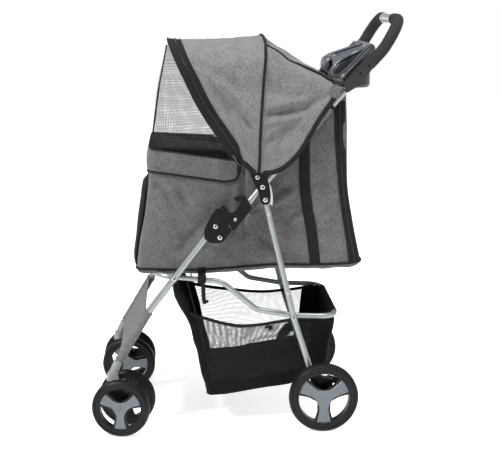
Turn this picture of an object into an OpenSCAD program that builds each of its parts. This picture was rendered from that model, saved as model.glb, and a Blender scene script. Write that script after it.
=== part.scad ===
// Folding four-wheeled pet stroller. X runs across it, with the stroller's left at +X,
// the front faces -Y, Z is up, and the wheels stand on z = 0.

/* [Overall] */
// Half of the distance between the side tubes' centre planes
leg_x = 189.5; // [186:0.5:192]
// Half width of the lower rail, on its tube's centre
rail_x = 174; // [172:0.5:174.5]
// Half width of the handle at the grips, on its tube's centre
grip_x = 168; // [164:1:170]
// Half width of the fabric cabin
cabin_half_w = 155; // [140:1:156]

/* [Tubes] */
// Diameter of the front legs and of the handle tube
tube_d = 16; // [14:0.5:16.5]
// Diameter of the rear legs
rear_tube_d = 15; // [13:0.5:16]
// Diameter of the lower rail
rail_d = 13; // [11:0.5:13.5]
// Diameter of the canopy bows
bow_d = 7; // [5:0.5:7]
// Diameter of the hinge pins
pin_d = 6; // [5:0.5:7]
// Radial clearance of a pin that turns in its hole
run_gap = 0.06; // [0.03:0.01:0.1]

/* [Wheels] */
// Radius of the rear wheels
rear_r = 85; // [80:1:88]
// Width of the rear wheels
rear_w = 28; // [24:1:28]
// Outer face of the rear wheels, from the middle
rear_face_x = 235; // [233:0.5:237]
// Radius of the front wheels
front_r = 70.5; // [66:0.5:72]
// Width of each front wheel
front_w = 24; // [20:1:26]
// Distance from a caster's stem to the middle of each of its two wheels
caster_half_w = 42; // [40:1:44]
// How far the front wheels trail behind their stem
caster_trail = 27; // [22:1:30]
// Turn of the left caster about its stem
left_caster_turn = -8.6; // [-15:0.1:0]
// Diameter of the wheel axles
axle_d = 8; // [6:0.5:9]

/* [Fabric] */
// Thickness of the fabric walls
wall = 3; // [2:0.5:4]
// Thickness of the floor board
board_t = 5; // [4:0.5:8]
// Thickness of the floor cushion
cushion_t = 24; // [15:1:30]

/* [Hidden] */
$fn = 48;
eps = 0.01;
bend_lap = 2;           // how far a bend reaches along the straight runs at its ends
bend_fat = 0.4;         // how much larger a bend's diameter is than its runs'

// Pivots of the folding linkage, as [y, z]
P1 = [-73, 481];        // handle on front leg, at the latch
P2 = [36, 571];         // rear leg on handle
P3 = [-182.5, 379.5];   // front leg on lower rail
P4 = [106, 278.5];      // rear leg on lower rail
bow_pivot = [16.8, 625.3];
leg_rivet = [-83.1, 508];
bracket_rivet = [29.3, 601.7];
slider_rivet = [-36.4, 524.2];
front_dir = [0.6115, 0.7912];
handle_dir = [0.6466, 0.7628];
rear_dir = [0.2327, -0.9725];
rear_hub = [178, rear_r];
stem = [186, -335];
stem_top_z = 128;

plate_t = 5;
plate_x = leg_x + tube_d / 2 + 0.2;
inner_x = leg_x - tube_d / 2 - 0.2;
foot_end = [178 - 24, 128];

frame_grey = "#a9adac";
plastic_black = "#1d1d1d";
foam_grey = "#3f4042";
cloth_grey = "#8d8a8c";
trim_black = "#202020";
rivet_steel = "#d5d8d8";
hub_grey = "#6f787e";

// ---------- Shared shapes ----------

function unit(v) = v / norm(v);
function turn(a, b, c) = acos(min(1, max(-1, unit(b - a) * unit(c - b))));
function setback(a, b, c, r) = r * tan(turn(a, b, c) / 2);
function on_side(x, p) = [x, p[0], p[1]];

// Puts children on the left, or mirrors them to the right
module on(side) {
    if (side > 0) children();
    else mirror([1, 0, 0]) children();
}

module both_sides() {
    children();
    mirror([1, 0, 0]) children();
}

// Straight round bar between two points
module rod(a, b, d) {
    v = b - a;
    translate(a) rotate([0, acos(v[2] / norm(v)), atan2(v[1], v[0])]) cylinder(d = d, h = norm(v));
}

// Round bend of radius r about corner b, a touch fatter than the runs that end inside it
module elbow(a, b, c, r, d) {
    u = unit(b - a);
    v = unit(c - b);
    n = unit(v - (v * u) * u);
    w = cross(-n, u);
    o = b - u * setback(a, b, c, r) + n * r;
    lap = bend_lap / r * 180 / PI;
    multmatrix([[-n[0], u[0], w[0], o[0]], [-n[1], u[1], w[1], o[1]], [-n[2], u[2], w[2], o[2]], [0, 0, 0, 1]])
        rotate(-lap) rotate_extrude(angle = turn(a, b, c) + 2 * lap) translate([r, 0]) circle(d = d + bend_fat);
}

// Tube along points, with a bend radius at each corner; a closed one joins its last point to its first
module bent_tube(pts, r, d, closed = false) {
    n = len(pts);
    for (i = [0:closed ? n - 1 : n - 2]) {
        a = pts[i];
        b = pts[(i + 1) % n];
        u = unit(b - a);
        ca = r[i] == 0 ? 0 : setback(pts[(i + n - 1) % n], a, b, r[i]) - bend_lap / 2;
        cb = r[(i + 1) % n] == 0 ? 0 : setback(a, b, pts[(i + 2) % n], r[(i + 1) % n]) - bend_lap / 2;
        rod(a + u * ca, b - u * cb, d);
    }
    for (i = [0:n - 1]) if (r[i] > 0) elbow(pts[(i + n - 1) % n], pts[i], pts[(i + 1) % n], r[i], d);
}

// Cylinder across the stroller at a [y, z] point
module cross_pin(p, x0, x1, d) {
    translate([x0, p[0], p[1]]) rotate([0, 90, 0]) cylinder(d = d, h = x1 - x0);
}

// Extrudes a [y, z] outline across the stroller
module slab(x0, x1) {
    translate([x0, 0, 0]) rotate([90, 0, 90]) linear_extrude(x1 - x0) children();
}

// Extrudes an [x, z] outline from front to back
module tunnel(y0, y1) {
    translate([0, y1, 0]) rotate([90, 0, 0]) linear_extrude(y1 - y0) children();
}

// Domed rivet: shank across the stroller and a shallow head at its outer end
module rivet(p, x0, x1, d) {
    cross_pin(p, x0, x1, d);
    translate([x1, p[0], p[1]]) rotate([0, 90, 0]) {
        cylinder(d = d + 5, h = 1.2);
        translate([0, 0, 1.2]) cylinder(d1 = d + 5, d2 = d + 1, h = 1.2);
    }
}

// ---------- Lower rail and what rides on it ----------

rail_front = [-228, 384.5];
rail_drop = [-68, 366.9];
rail_low = [17, 296];
rail_back = [212, 275.5];

module lower_rail() {
    side = [rail_front, rail_drop, rail_low, P4 + [0, 1], rail_back];
    left = [for (p = side) on_side(rail_x, p)];
    right = [for (i = [4:-1:0]) on_side(-rail_x, side[i])];
    radii = [42, 60, 40, 200, 42, 42, 200, 40, 60, 42];
    color(frame_grey) difference() {
        bent_tube(concat(left, right), radii, rail_d, closed = true);
        both_sides() cross_pin(P3, rail_x - rail_d, leg_x, pin_d + 2 * run_gap);
    }
}

basket_half_w = 145;

module basket() {
    outline = [[-168, 362], [-152, 290], [-126, 165], [-110, 90], [-98, 77], [-80, 75], [60, 98],
        [150, 116], [170, 130], [180, 160], [201, 266]];
    color(trim_black) difference() {
        slab(-basket_half_w, basket_half_w) polygon(outline);
        slab(-basket_half_w + wall, basket_half_w - wall) offset(delta = -wall)
            polygon(concat(outline, [[260, 420], [-180, 420]]));
        slab(-200, 200) polygon([[-130, 500], [-130, 330], [-104, 283], [-60, 262], [0, 255],
            [70, 257], [140, 264], [182, 267.5], [182, 500]]);
    }
}

cabin_front = [[-236, 692], [-242, 664], [-241, 628], [-246, 572], [-253.5, 519], [-265.5, 460], [-273, 393]];
cabin_rim_back = [-25, 662];
cabin_back = [[274, 412], [261.6, 469], [250, 530], [244.5, 561], [239.5, 601], [237.5, 707], [237, 743],
    [233.5, 822]];
cabin_floor = [[-195, 393], [-120, 381], [20, 376], [150, 382], [235, 398]];
cabin_top = [[225, 826], [120, 800], [50, 745], [0, 690]];

module cabin_body() {
    sides_and_floor = concat(cabin_front, cabin_floor, cabin_back);
    outline = concat(sides_and_floor, cabin_top, [cabin_rim_back]);
    raised = concat(sides_and_floor, [[225, 926], [-236, 926]]);
    color(cloth_grey) difference() {
        slab(-cabin_half_w, cabin_half_w) polygon(outline);
        slab(-cabin_half_w + wall, cabin_half_w - wall) offset(delta = -wall) polygon(raised);
    }
}

// Black padded panel that bulges on the cabin's front face
module front_panel() {
    color(trim_black) slab(-120, 120)
        polygon([[-244.8, 597], [-252, 593], [-261, 583], [-271.5, 510], [-282.5, 424], [-282.5, 404], [-279, 396],
            [-273.5, 396], [-266.2, 460], [-254.2, 519], [-246.7, 572]]);
}

board_y = [-262, 206];
cushion_y = [-256, 232];
board_z = 396.5;

module floor_board() {
    color(trim_black) difference() {
        translate([-148, board_y[0], board_z]) cube([296, board_y[1] - board_y[0], board_t]);
        for (x = [-110, 110], y = [-220, 170]) translate([x, y, board_z - 1]) cylinder(d = 12, h = board_t + 2);
    }
}

module cushion() {
    top = board_z + board_t + 0.3;
    color(cloth_grey) translate([0, 0, top]) difference() {
        translate([-146, cushion_y[0], 0]) cube([292, cushion_y[1] - cushion_y[0], cushion_t]);
        for (x = [-100, 0, 100], y = [-140, 0, 140])
            translate([x, y, cushion_t - 3]) cylinder(d = 14, h = 4);
    }
}

// Webbing loops that hold the cabin down on the rail, each with its loose tail
strap_y = -116;

module rail_straps() {
    strap_z = rail_front[1] - (strap_y - rail_front[0]) * 0.11;
    color(trim_black) both_sides() {
        difference() {
            cross_section_ring(strap_z, rail_d + 4, 22);
            cross_section_ring(strap_z, rail_d + 0.6, 24);
        }
        translate([rail_x - rail_d / 2 - 2, strap_y - 10, strap_z + 4]) cube([1.6, 20, 16]);
        translate([rail_x + 0.5, strap_y - 6, 322]) cube([2.4, 12, strap_z - 322 - rail_d / 2]);
    }
}

module cross_section_ring(z, d, w) {
    translate([rail_x, strap_y, z]) rotate([90 - 6.3, 0, 0]) cylinder(d = d, h = w, center = true);
}

// Load-carrying webbing that runs down each side of the cabin to its floor
module support_straps() {
    color(trim_black) both_sides() slab(cabin_half_w + 0.3, cabin_half_w + 1.9)
        polygon([[128, 716], [150, 716], [184, 404], [162, 402]]);
}

// ---------- Front legs ----------

leg_top = P3 + front_dir * 178;
leg_bend = P3 - front_dir * 100;
leg_foot = [-329, 152];

module leg_bar(d) {
    bent_tube([on_side(leg_x, leg_top), on_side(leg_x, leg_bend), on_side(stem[0], [-321, 172]),
        on_side(stem[0], leg_foot)], [0, 150, 40, 0], d);
}

module front_leg(side) {
    color(frame_grey) on(side) difference() {
        leg_bar(tube_d);
        cross_pin(P3, leg_x - tube_d, leg_x + tube_d, pin_d);
        cross_pin(leg_rivet, leg_x - tube_d, leg_x + tube_d, pin_d);
    }
}

latch_outline = [[-103.6, 473], [-110.4, 480], [-108.5, 499], [-91, 532], [-79.5, 546], [-73.5, 546],
    [-44.5, 497], [-63, 472], [-72.4, 467.6], [-94, 467.6]];

// Two cheeks and a web that hold the front leg's top end and the handle's lower end
module latch_base(side) {
    color(plastic_black) on(side) difference() {
        union() {
            slab(plate_x, plate_x + plate_t) polygon(latch_outline);
            slab(inner_x - plate_t, inner_x) polygon(latch_outline);
            slab(inner_x - eps, plate_x + eps)
                polygon([[-110.4, 480], [-108.5, 499], [-91, 532], [-79.5, 546], [-76.5, 543], [-87.5, 530.5],
                    [-105, 498], [-107, 481]]);
        }
        for (p = [P1, leg_rivet]) cross_pin(p, inner_x - 10, plate_x + 10, pin_d);
        rod(on_side(leg_x, P3), on_side(leg_x, leg_top + front_dir * 5), tube_d + 0.2);
    }
}

module caster_socket(side) {
    color(hub_grey) on(side) difference() {
        union() {
            translate([stem[0], stem[1], stem_top_z]) cylinder(d1 = 30, d2 = 24, h = 20);
            rod([stem[0], stem[1], stem_top_z + 14], on_side(stem[0], [-320.2, 174]), tube_d + 5);
        }
        leg_bar(tube_d + 0.1);
        translate([stem[0], stem[1], stem_top_z - 1]) cylinder(d = 10 + 2 * run_gap, h = 15);
    }
}

// Rivets and hinge pins that stay with the front legs
module leg_rivets() {
    color(rivet_steel) both_sides() {
        rivet(P1, inner_x - plate_t - 1, plate_x + plate_t, pin_d);
        rivet(leg_rivet, inner_x - plate_t - 1, plate_x + plate_t, pin_d);
        rivet(P3, rail_x - rail_d / 2 - 1, leg_x + tube_d / 2, pin_d);
    }
}

// Fabric panel between the front legs, with a sleeve round each leg
module footrest() {
    a = [-243.6 - 3, 296];
    b = [-317, 178];
    along = unit(a - b);
    len_ab = norm(a - b);
    half = leg_x - 2;
    color(cloth_grey) difference() {
        union() {
            translate([0, b[0], b[1]]) rotate([atan2(along[1], along[0]) - 90, 0, 0]) translate([0, 1.2, 0])
                rotate([90, 0, 0]) linear_extrude(2.4) difference() {
                    polygon([[-half, 0], [half, 0], [half, len_ab], [-half, len_ab]]);
                    translate([0, len_ab + 962]) circle(r = 980);
                }
            both_sides() rod(on_side(stem[0], b), on_side(leg_x - 0.5, a), tube_d + 4);
        }
        both_sides() leg_bar(tube_d + 0.4);
    }
}

// ---------- Handle ----------

handle_low = P1 - handle_dir * 11;
handle_bend = [49.9, 625.9];
tray_point = [220, 819];
grip_bend = [318, 924];
handle_end = [358, 992];
corner_r = 55;

function handle_path() = [on_side(leg_x, handle_low), on_side(leg_x, handle_bend), on_side(grip_x, tray_point),
    on_side(grip_x, grip_bend), on_side(grip_x, handle_end)];

module handle_tube() {
    left = handle_path();
    right = [for (i = [4:-1:0]) [-left[i][0], left[i][1], left[i][2]]];
    radii = [0, 200, 300, 140, corner_r, corner_r, 140, 300, 200, 0];
    color(frame_grey) difference() {
        bent_tube(concat(left, right), radii, tube_d);
        both_sides() {
            cross_pin(P1, leg_x - tube_d, leg_x + tube_d, pin_d + 2 * run_gap);
            cross_pin(bracket_rivet, leg_x - tube_d, leg_x + tube_d, pin_d);
        }
    }
}

grip_d = 28;
grip_start = [281, 884.4];
sleeve_half = 66;

// Foam grip round one corner of the handle
module grip(side) {
    pts = [on_side(grip_x, grip_start), on_side(grip_x, grip_bend), on_side(grip_x, handle_end),
        [sleeve_half + 2, handle_end[0], handle_end[1]]];
    bore = [on_side(grip_x, grip_start - (grip_bend - grip_start) * 0.1), on_side(grip_x, grip_bend),
        on_side(grip_x, handle_end), [sleeve_half - 2, handle_end[0], handle_end[1]]];
    color(foam_grey) on(side) difference() {
        bent_tube(pts, [0, 140, corner_r, 0], grip_d);
        bent_tube(bore, [0, 140, corner_r, 0], tube_d + 0.2);
    }
}

// Bright ribbed sleeve at the middle of the handle
module handle_sleeve() {
    color(rivet_steel) difference() {
        union() {
            cross_pin(handle_end, -sleeve_half, sleeve_half, 21);
            for (x = [-sleeve_half, sleeve_half - 6]) cross_pin(handle_end, x, x + 6, 27);
            for (i = [-8:8]) cross_pin(handle_end, i * 7 - 1, i * 7 + 1, 22.5);
        }
        cross_pin(handle_end, -sleeve_half - 10, sleeve_half + 10, tube_d + 0.2);
    }
}

cup_y = 259;
cup_x = 98;
cup_r = 37;
cup_bottom = 832;
tray_wall = 3;
pocket_half_w = 46;
tray_side_rim = [[214, 838], [219, 852], [288, 926], [298, 924], [303, 912], [297, 902], [236, 836], [222, 830]];
tray_mid_rim = [[196, 864], [196, 886], [206, 897], [220, 900], [288, 924], [298, 922], [303, 912], [297, 905],
    [232, 884], [214, 878], [204, 864]];

// Plan of the tray, with rounded corners
module tray_plan() {
    polygon([[-152, 232], [-138, 214], [-62, 214], [-52, 196], [52, 196], [62, 214], [138, 214], [152, 232],
        [150, 284], [132, 304], [-132, 304], [-150, 284]]);
}

// Tray with two deep cup holders and an open pocket between them, all sloping with the handle
module cup_tray() {
    color(foam_grey) difference() {
        union() {
            intersection() {
                translate([0, 0, 800]) linear_extrude(150) tray_plan();
                union() {
                    both_sides() slab(pocket_half_w + 3, 154) polygon(tray_side_rim);
                    slab(-pocket_half_w - 6, pocket_half_w + 6) polygon(tray_mid_rim);
                }
            }
            intersection() {
                union() {
                    both_sides() translate([cup_x, cup_y, cup_bottom]) cylinder(r = cup_r + tray_wall, h = 110);
                    translate([-pocket_half_w - 3, 212, 856]) cube([2 * pocket_half_w + 6, 86, 80]);
                }
                slab(-200, 200) polygon([[190, 800], [330, 800], [330, 962], [286, 922], [219, 850], [190, 840]]);
            }
        }
        both_sides() translate([cup_x, cup_y, cup_bottom + tray_wall]) cylinder(r = cup_r, h = 140);
        translate([-pocket_half_w, 215, 859]) cube([2 * pocket_half_w, 80, 120]);
    }
}

clamp_outline = [[226, 824], [224, 845], [292, 920], [301, 913], [304, 904], [289, 877], [257, 838], [232, 823]];

// Housings that clamp the tray onto the handle tubes
module tray_clamps() {
    path = handle_path();
    color(foam_grey) both_sides() difference() {
        slab(grip_x - 12.4, grip_x + 14) polygon(clamp_outline);
        bent_tube(path, [0, 200, 300, 140, 0], tube_d + 0.2);
        bent_tube([for (i = [2:4]) path[i]], [0, 140, 0], tube_d + 0.2);
        rod(on_side(grip_x, grip_start - [0.6, 0.66]), on_side(grip_x, grip_bend), grip_d + 0.6);
        cross_pin([262, 868], grip_x + 11, grip_x + 15, 7);
    }
}

function arc(p, r, a0, a1, n) = [for (i = [0:n]) p + r * [cos(a0 + (a1 - a0) * i / n), sin(a0 + (a1 - a0) * i / n)]];

bracket_outline = concat(arc(P2, 12, 200, 350, 10), [[48.5, 583], [44.8, 609], [37.5, 625], [34.4, 631.5]],
    [[-1.3, 638.3], [1.5, 627], [12.5, 603.4], [20.1, 588.9]]);
stay_outline = concat(arc(bow_pivot, 6.5, 75, 200, 8), [[15, 603], [26, 580]], arc(P2, 10, 200, 300, 6),
    [[54, 553], [55.4, 566], [54.6, 580], [51.6, 597], [44.5, 614]]);

// Outer plate that joins handle, rear leg and canopy bows
module hinge_bracket(side) {
    color(plastic_black) on(side) difference() {
        slab(plate_x, plate_x + plate_t) polygon(bracket_outline);
        for (p = [P2, bracket_rivet]) cross_pin(p, plate_x - 1, plate_x + plate_t + 1, pin_d);
        cross_pin(bow_pivot, plate_x - 1, plate_x + plate_t + 1, pin_d - 1);
    }
}

// Curved steel plates on the inner side of each hinge
module hinge_stays() {
    color(frame_grey) both_sides() difference() {
        slab(inner_x - 3.5, inner_x) polygon(stay_outline);
        for (p = [P2, bracket_rivet]) cross_pin(p, inner_x - 10, inner_x + 1, pin_d);
        cross_pin(bow_pivot, inner_x - 10, inner_x + 1, pin_d - 1);
    }
}

module hinge_rivets() {
    color(rivet_steel) both_sides() {
        rivet(P2, inner_x - 4.5, plate_x + plate_t, pin_d);
        rivet(bracket_rivet, inner_x - 4.5, plate_x + plate_t, pin_d);
        rivet(bow_pivot, front_bow_x - 4.5, plate_x + plate_t, pin_d - 1);
    }
}

// ---------- Latch sliders ----------

slider_outline = [[-72, 548], [-64.3, 554], [-56, 549], [-49.4, 537], [-42, 535.5], [-35, 540], [-27, 550],
    [-22.3, 560], [-22, 567], [-38.6, 570.5], [-36, 575], [-11.5, 578], [-5, 570], [4.3, 552], [-14, 527],
    [-38.6, 496.6], [-42.6, 497.6]];

// Black catch that slides up the handle tube to free the fold
module latch_slider(side) {
    color(plastic_black) on(side) difference() {
        union() {
            slab(inner_x - plate_t, plate_x + plate_t) polygon(slider_outline);
            cross_pin(slider_rivet, plate_x + plate_t - eps, plate_x + plate_t + 1.4, 9);
        }
        rod(on_side(leg_x, P1 - handle_dir * 40), on_side(leg_x, handle_bend), tube_d + 0.5);
    }
}

// ---------- Rear legs, axle and brakes ----------

leg_screws = [P2 + rear_dir * 37, P4 - rear_dir * 63];

module rear_leg(side) {
    top = P2 - rear_dir * 10;
    pts = [on_side(leg_x, top), on_side(leg_x, P4), on_side(leg_x, foot_end)];
    color(frame_grey) on(side) difference() {
        bent_tube(pts, [0, 240, 0], rear_tube_d);
        cross_pin(P2, leg_x - tube_d, leg_x + tube_d, pin_d + 2 * run_gap);
        cross_pin(P4, leg_x - tube_d, leg_x + tube_d, pin_d);
        for (p = leg_screws) cross_pin(p, leg_x + rear_tube_d / 2 - 0.5, leg_x + tube_d, 6);
    }
}

module rear_axle() {
    color(rivet_steel) cross_pin(rear_hub, -rear_face_x + 6, rear_face_x - 6, axle_d);
}

// Plastic foot that carries the axle and takes the leg's lower end
module axle_housing(side) {
    color(plastic_black) on(side) difference() {
        union() {
            cross_pin(rear_hub, leg_x - 10, rear_face_x - rear_w - 0.5, 30);
            slab(leg_x - 10, leg_x + 10) polygon([[140, 142], [164, 146], [178, 128], [204, 122], [202, 106],
                [188, 92], [172, 76], [160, 90]]);
            cross_pin(brake_pivot, leg_x - 16, leg_x - 9, 14);
        }
        rod(on_side(leg_x, foot_end), on_side(leg_x, P4), rear_tube_d);
        cross_pin(rear_hub, 100, 260, axle_d);
        cross_pin(brake_pivot, leg_x - 30, leg_x - 10.5, 5);
    }
}

// Pivots and screws that stay with the rear legs
module rear_rivets() {
    color(rivet_steel) both_sides() {
        rivet(P4, rail_x + rail_d / 2 + 0.3, leg_x + (rear_tube_d + bend_fat) / 2, pin_d);
        for (p = leg_screws)
            cross_pin(p, leg_x + rear_tube_d / 2 - 0.5, leg_x + rear_tube_d / 2 + 1, 6);
        cross_pin(brake_pivot, leg_x - 24, leg_x - 10.5, 5);
    }
}

brake_pivot = [196, 116];

module brake_pedal(side) {
    color(plastic_black) on(side) difference() {
        slab(leg_x - 24, leg_x - 16.3) union() {
            translate(brake_pivot) circle(d = 16);
            polygon([[194, 108], [230, 100], [252, 102], [254, 108], [232, 114], [196, 124]]);
        }
        cross_pin(brake_pivot, leg_x - 30, leg_x, 5 + 2 * run_gap);
    }
}

// ---------- Wheels ----------

module ring(r_out, r_in, w) {
    difference() {
        cylinder(r = r_out, h = w, center = true, $fn = 96);
        cylinder(r = r_in, h = w + 2, center = true, $fn = 96);
    }
}

// Places a wheel made along Z with its axle along X, its outer face towards +X
module at_axle(p, x) {
    translate([x, p[0], p[1]]) rotate([90, 0, 90]) children();
}

module tyre(r, r_in, w) {
    crown = w * 0.32;
    rotate_extrude($fn = 96) polygon([[r_in, -w / 2], [r - 6, -w / 2], [r - 2, -w / 2 + 3], [r, -crown / 2],
        [r, crown / 2], [r - 2, w / 2 - 3], [r - 6, w / 2], [r_in, w / 2]]);
}

// Rim with a hub and three spokes that widen towards the rim
module rim(r_out, r_in, w, waist, flare, spoke_turn) {
    difference() {
        union() {
            ring(r_out, r_in, w);
            cylinder(r = waist * 0.62, h = w + 1, center = true);
            for (a = [-90, 30, 150]) rotate(a + spoke_turn) translate([0, 0, w / 2 - 9]) linear_extrude(7)
                polygon([[0, -waist / 2], [r_in * 0.55, -waist / 2], [r_in + 2, -flare / 2],
                    [r_in + 2, flare / 2], [r_in * 0.55, waist / 2], [0, waist / 2]]);
        }
        cylinder(d = axle_d + 2 * run_gap, h = 3 * w, center = true);
    }
}

rear_rim_r = 74;
rear_window_r = 61.5;
front_rim_r = 61;
front_window_r = 50;

module rear_wheel_at(side) {
    on(side) at_axle(rear_hub, rear_face_x - rear_w / 2) children();
}

module rear_tyre(side) {
    color(trim_black) rear_wheel_at(side) tyre(rear_r, rear_rim_r, rear_w);
}

module rear_rim(side) {
    color(plastic_black) rear_wheel_at(side) rim(rear_rim_r, rear_window_r, rear_w - 4, 32, 50, side > 0 ? 0 : 40);
}

// ---------- Casters ----------

caster_axle_z = front_r;

// Everything on a caster is drawn with its stem at the origin, then put in place
module at_caster(side) {
    on(side) translate([stem[0], stem[1], 0]) rotate(side > 0 ? left_caster_turn : 0) children();
}

module caster_fork(side) {
    hub = [caster_trail, caster_axle_z];
    color(plastic_black) at_caster(side) difference() {
        union() {
            cylinder_from(stem_top_z - 26, stem_top_z - 0.4, 28);
            slab(-11, 11) polygon([[-10, stem_top_z - 7], [11, stem_top_z - 7], [40, 94], [44, 66], [30, 54],
                [12, 62], [-8, 98]]);
            cross_pin(hub, -caster_half_w + front_w / 2 + 1, caster_half_w - front_w / 2 - 1, 24);
            cylinder_from(stem_top_z - 10, stem_top_z + 12, 10);
        }
        cross_pin(hub, -60, 60, axle_d);
    }
}

module cylinder_from(z0, z1, d) {
    translate([0, 0, z0]) cylinder(d = d, h = z1 - z0);
}

module caster_axle(side) {
    color(rivet_steel) at_caster(side)
        cross_pin([caster_trail, caster_axle_z], -caster_half_w - front_w / 2 + 4, caster_half_w + front_w / 2 - 4, axle_d);
}

// Which is 1 for the outer wheel of the pair and -1 for the inner one
module front_wheel_at(side, which) {
    at_caster(side) at_axle([caster_trail, caster_axle_z], which * caster_half_w) children();
}

module front_tyre(side, which) {
    color(trim_black) front_wheel_at(side, which) tyre(front_r, front_rim_r, front_w);
}

module front_rim(side, which) {
    color(plastic_black) front_wheel_at(side, which) rim(front_rim_r, front_window_r, front_w - 4, 27, 44, side > 0 ? 0 : 90);
}

// ---------- Canopy ----------

mid_bow_x = 173.7;
front_bow_x = 165.3;
bow_corner_r = 80;

module bow(x, pts) {
    left = [for (p = pts) on_side(x, p)];
    last = len(pts) - 1;
    right = [for (i = [last:-1:0]) on_side(-x, pts[i])];
    radii = concat([0], [for (i = [1:1:last - 1]) 60], [bow_corner_r, bow_corner_r],
        [for (i = [1:1:last - 1]) 60], [0]);
    color(frame_grey) difference() {
        union() {
            bent_tube(concat(left, right), radii, bow_d);
            both_sides() cross_pin(bow_pivot, x - 3.5, x + 3.5, 13);
        }
        both_sides() cross_pin(bow_pivot, x - 10, x + 10, pin_d - 1 + 2 * run_gap);
    }
}

module mid_bow() {
    bow(mid_bow_x, [bow_pivot, [38, 929.5]]);
}

module front_bow() {
    bow(front_bow_x, [bow_pivot, [-45, 692], [-180, 929.5]]);
}

canopy_w = [[202, 620], [201, 660], [197, 720], [191, 784], [184, 850]];
canopy_corner = 84;
canopy_top_z = 940;

// Front view of the canopy: leaning sides, round corners and a crowned top, shrunk by t
module canopy_arch(t) {
    side = [for (p = canopy_w) [p[0] - t, p[1]]];
    x0 = 184 - canopy_corner;
    z0 = canopy_top_z - canopy_corner;
    arc = [for (a = [0:10:90]) [x0 + (canopy_corner - t) * cos(a), z0 + (canopy_corner - t) * sin(a)]];
    crown = [[60, canopy_top_z + 6 - t], [0, canopy_top_z + 9 - t]];
    half = concat(side, arc, crown);
    polygon(concat(half, [for (i = [len(half) - 2:-1:0]) [-half[i][0], half[i][1]]]));
}

canopy_side = [[-42, 668], [-12, 656], [4, 643], [23, 636.5], [52, 636.5], [78, 647], [102, 667], [122, 691],
    [146, 729], [165, 761], [206, 819], [205, 851], [130, 895], [42, 953], [-194, 952], [-156.5, 859],
    [-120, 784], [-77, 719]];
// Seam between the hood's front and rear halves, along the middle bow
canopy_seam = [[18, 600], [42, 965]];
seam_gap = 0.3;

// Hollow hood, open at its front and below
module canopy_shell() {
    difference() {
        intersection() {
            tunnel(-300, 300) canopy_arch(0);
            slab(-250, 250) polygon(canopy_side);
        }
        intersection() {
            tunnel(-300, 300) canopy_arch(wall);
            slab(-250, 250) polygon([[-300, 500], [260, 500], [260, 750], [202, 846], [128, 891], [41, 950],
                [-300, 950]]);
        }
    }
}

// Everything on one side of the seam: 1 for behind it, -1 for in front of it
module beyond_seam(way) {
    shift = [way * seam_gap, 0];
    slab(-250, 250) polygon([canopy_seam[0] + shift, canopy_seam[1] + shift, canopy_seam[1] + [way * 500, 0],
        canopy_seam[0] + [way * 500, 0]]);
}

module canopy_rear() {
    color(cloth_grey) intersection() {
        canopy_shell();
        beyond_seam(1);
    }
}

module canopy_front() {
    color(cloth_grey) intersection() {
        canopy_shell();
        beyond_seam(-1);
    }
}

mesh_t = 1.5;

// Mesh window between the cabin's rim and the canopy's front edge
module window_mesh() {
    outer = [[-235, 694.5], [-229, 722], [-215, 829], [-196, 924], [-188, 924], [-150, 851], [-114, 780],
        [-70, 713], [-30, 666]];
    color("#c9cccd") difference() {
        intersection() {
            tunnel(-300, 300) mesh_arch(0);
            slab(-200, 200) polygon(outer);
        }
        intersection() {
            tunnel(-300, 300) mesh_arch(mesh_t);
            slab(-200, 200) polygon([[-233.5, 600], [-227.5, 722], [-213.5, 829], [-193, 930], [-100, 930], [60, 600]]);
        }
    }
}

module mesh_arch(t) {
    r = 76 - t;
    x0 = 157 - 76;
    z0 = 924 - 76;
    arc = [for (a = [0:10:90]) [x0 + r * cos(a), z0 + r * sin(a)]];
    polygon(concat([[157 - t, 600]], arc, [for (i = [len(arc) - 1:-1:0]) [-arc[i][0], arc[i][1]]],
        [[-157 + t, 600]]));
}

zip_low = [206.8, -34, 668];
zip_high = [190.8, -158, 866];

// Zip slider with its pull, on the canopy's front edge
module zip_slider(side) {
    v = zip_high - zip_low;
    color(rivet_steel) on(side) translate(zip_low) rotate([0, acos(v[2] / norm(v)), atan2(v[1], v[0])]) {
        translate([-2, -5, 0]) cube([4, 10, 13]);
        translate([-1, -3, -17]) cube([2, 6, 18]);
    }
}

lower_rail();
basket();
cabin_body();
front_panel();
floor_board();
cushion();
rail_straps();
support_straps();
front_leg(1);  // front_leg_left
front_leg(-1);  // front_leg_right
latch_base(1);  // latch_base_left
latch_base(-1);  // latch_base_right
caster_socket(1);  // caster_socket_left
caster_socket(-1);  // caster_socket_right
leg_rivets();
footrest();
handle_tube();
grip(1);  // grip_left
grip(-1);  // grip_right
handle_sleeve();
cup_tray();
tray_clamps();
hinge_bracket(1);  // hinge_bracket_left
hinge_bracket(-1);  // hinge_bracket_right
hinge_stays();
hinge_rivets();
canopy_rear();
latch_slider(1);  // latch_slider_left
latch_slider(-1);  // latch_slider_right
rear_leg(1);  // rear_leg_left
rear_leg(-1);  // rear_leg_right
rear_axle();
axle_housing(1);  // axle_housing_left
axle_housing(-1);  // axle_housing_right
rear_rivets();
brake_pedal(1);  // brake_pedal_left
brake_pedal(-1);  // brake_pedal_right
rear_tyre(1);  // rear_tyre_left
rear_rim(1);  // rear_rim_left
rear_tyre(-1);  // rear_tyre_right
rear_rim(-1);  // rear_rim_right
caster_fork(1);  // caster_fork_left
caster_fork(-1);  // caster_fork_right
caster_axle(1);  // caster_axle_left
caster_axle(-1);  // caster_axle_right
front_tyre(1, 1);  // front_tyre_left_outer
front_rim(1, 1);  // front_rim_left_outer
front_tyre(1, -1);  // front_tyre_left_inner
front_rim(1, -1);  // front_rim_left_inner
front_tyre(-1, 1);  // front_tyre_right_outer
front_rim(-1, 1);  // front_rim_right_outer
front_tyre(-1, -1);  // front_tyre_right_inner
front_rim(-1, -1);  // front_rim_right_inner
mid_bow();
canopy_front();
front_bow();
window_mesh();
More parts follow.
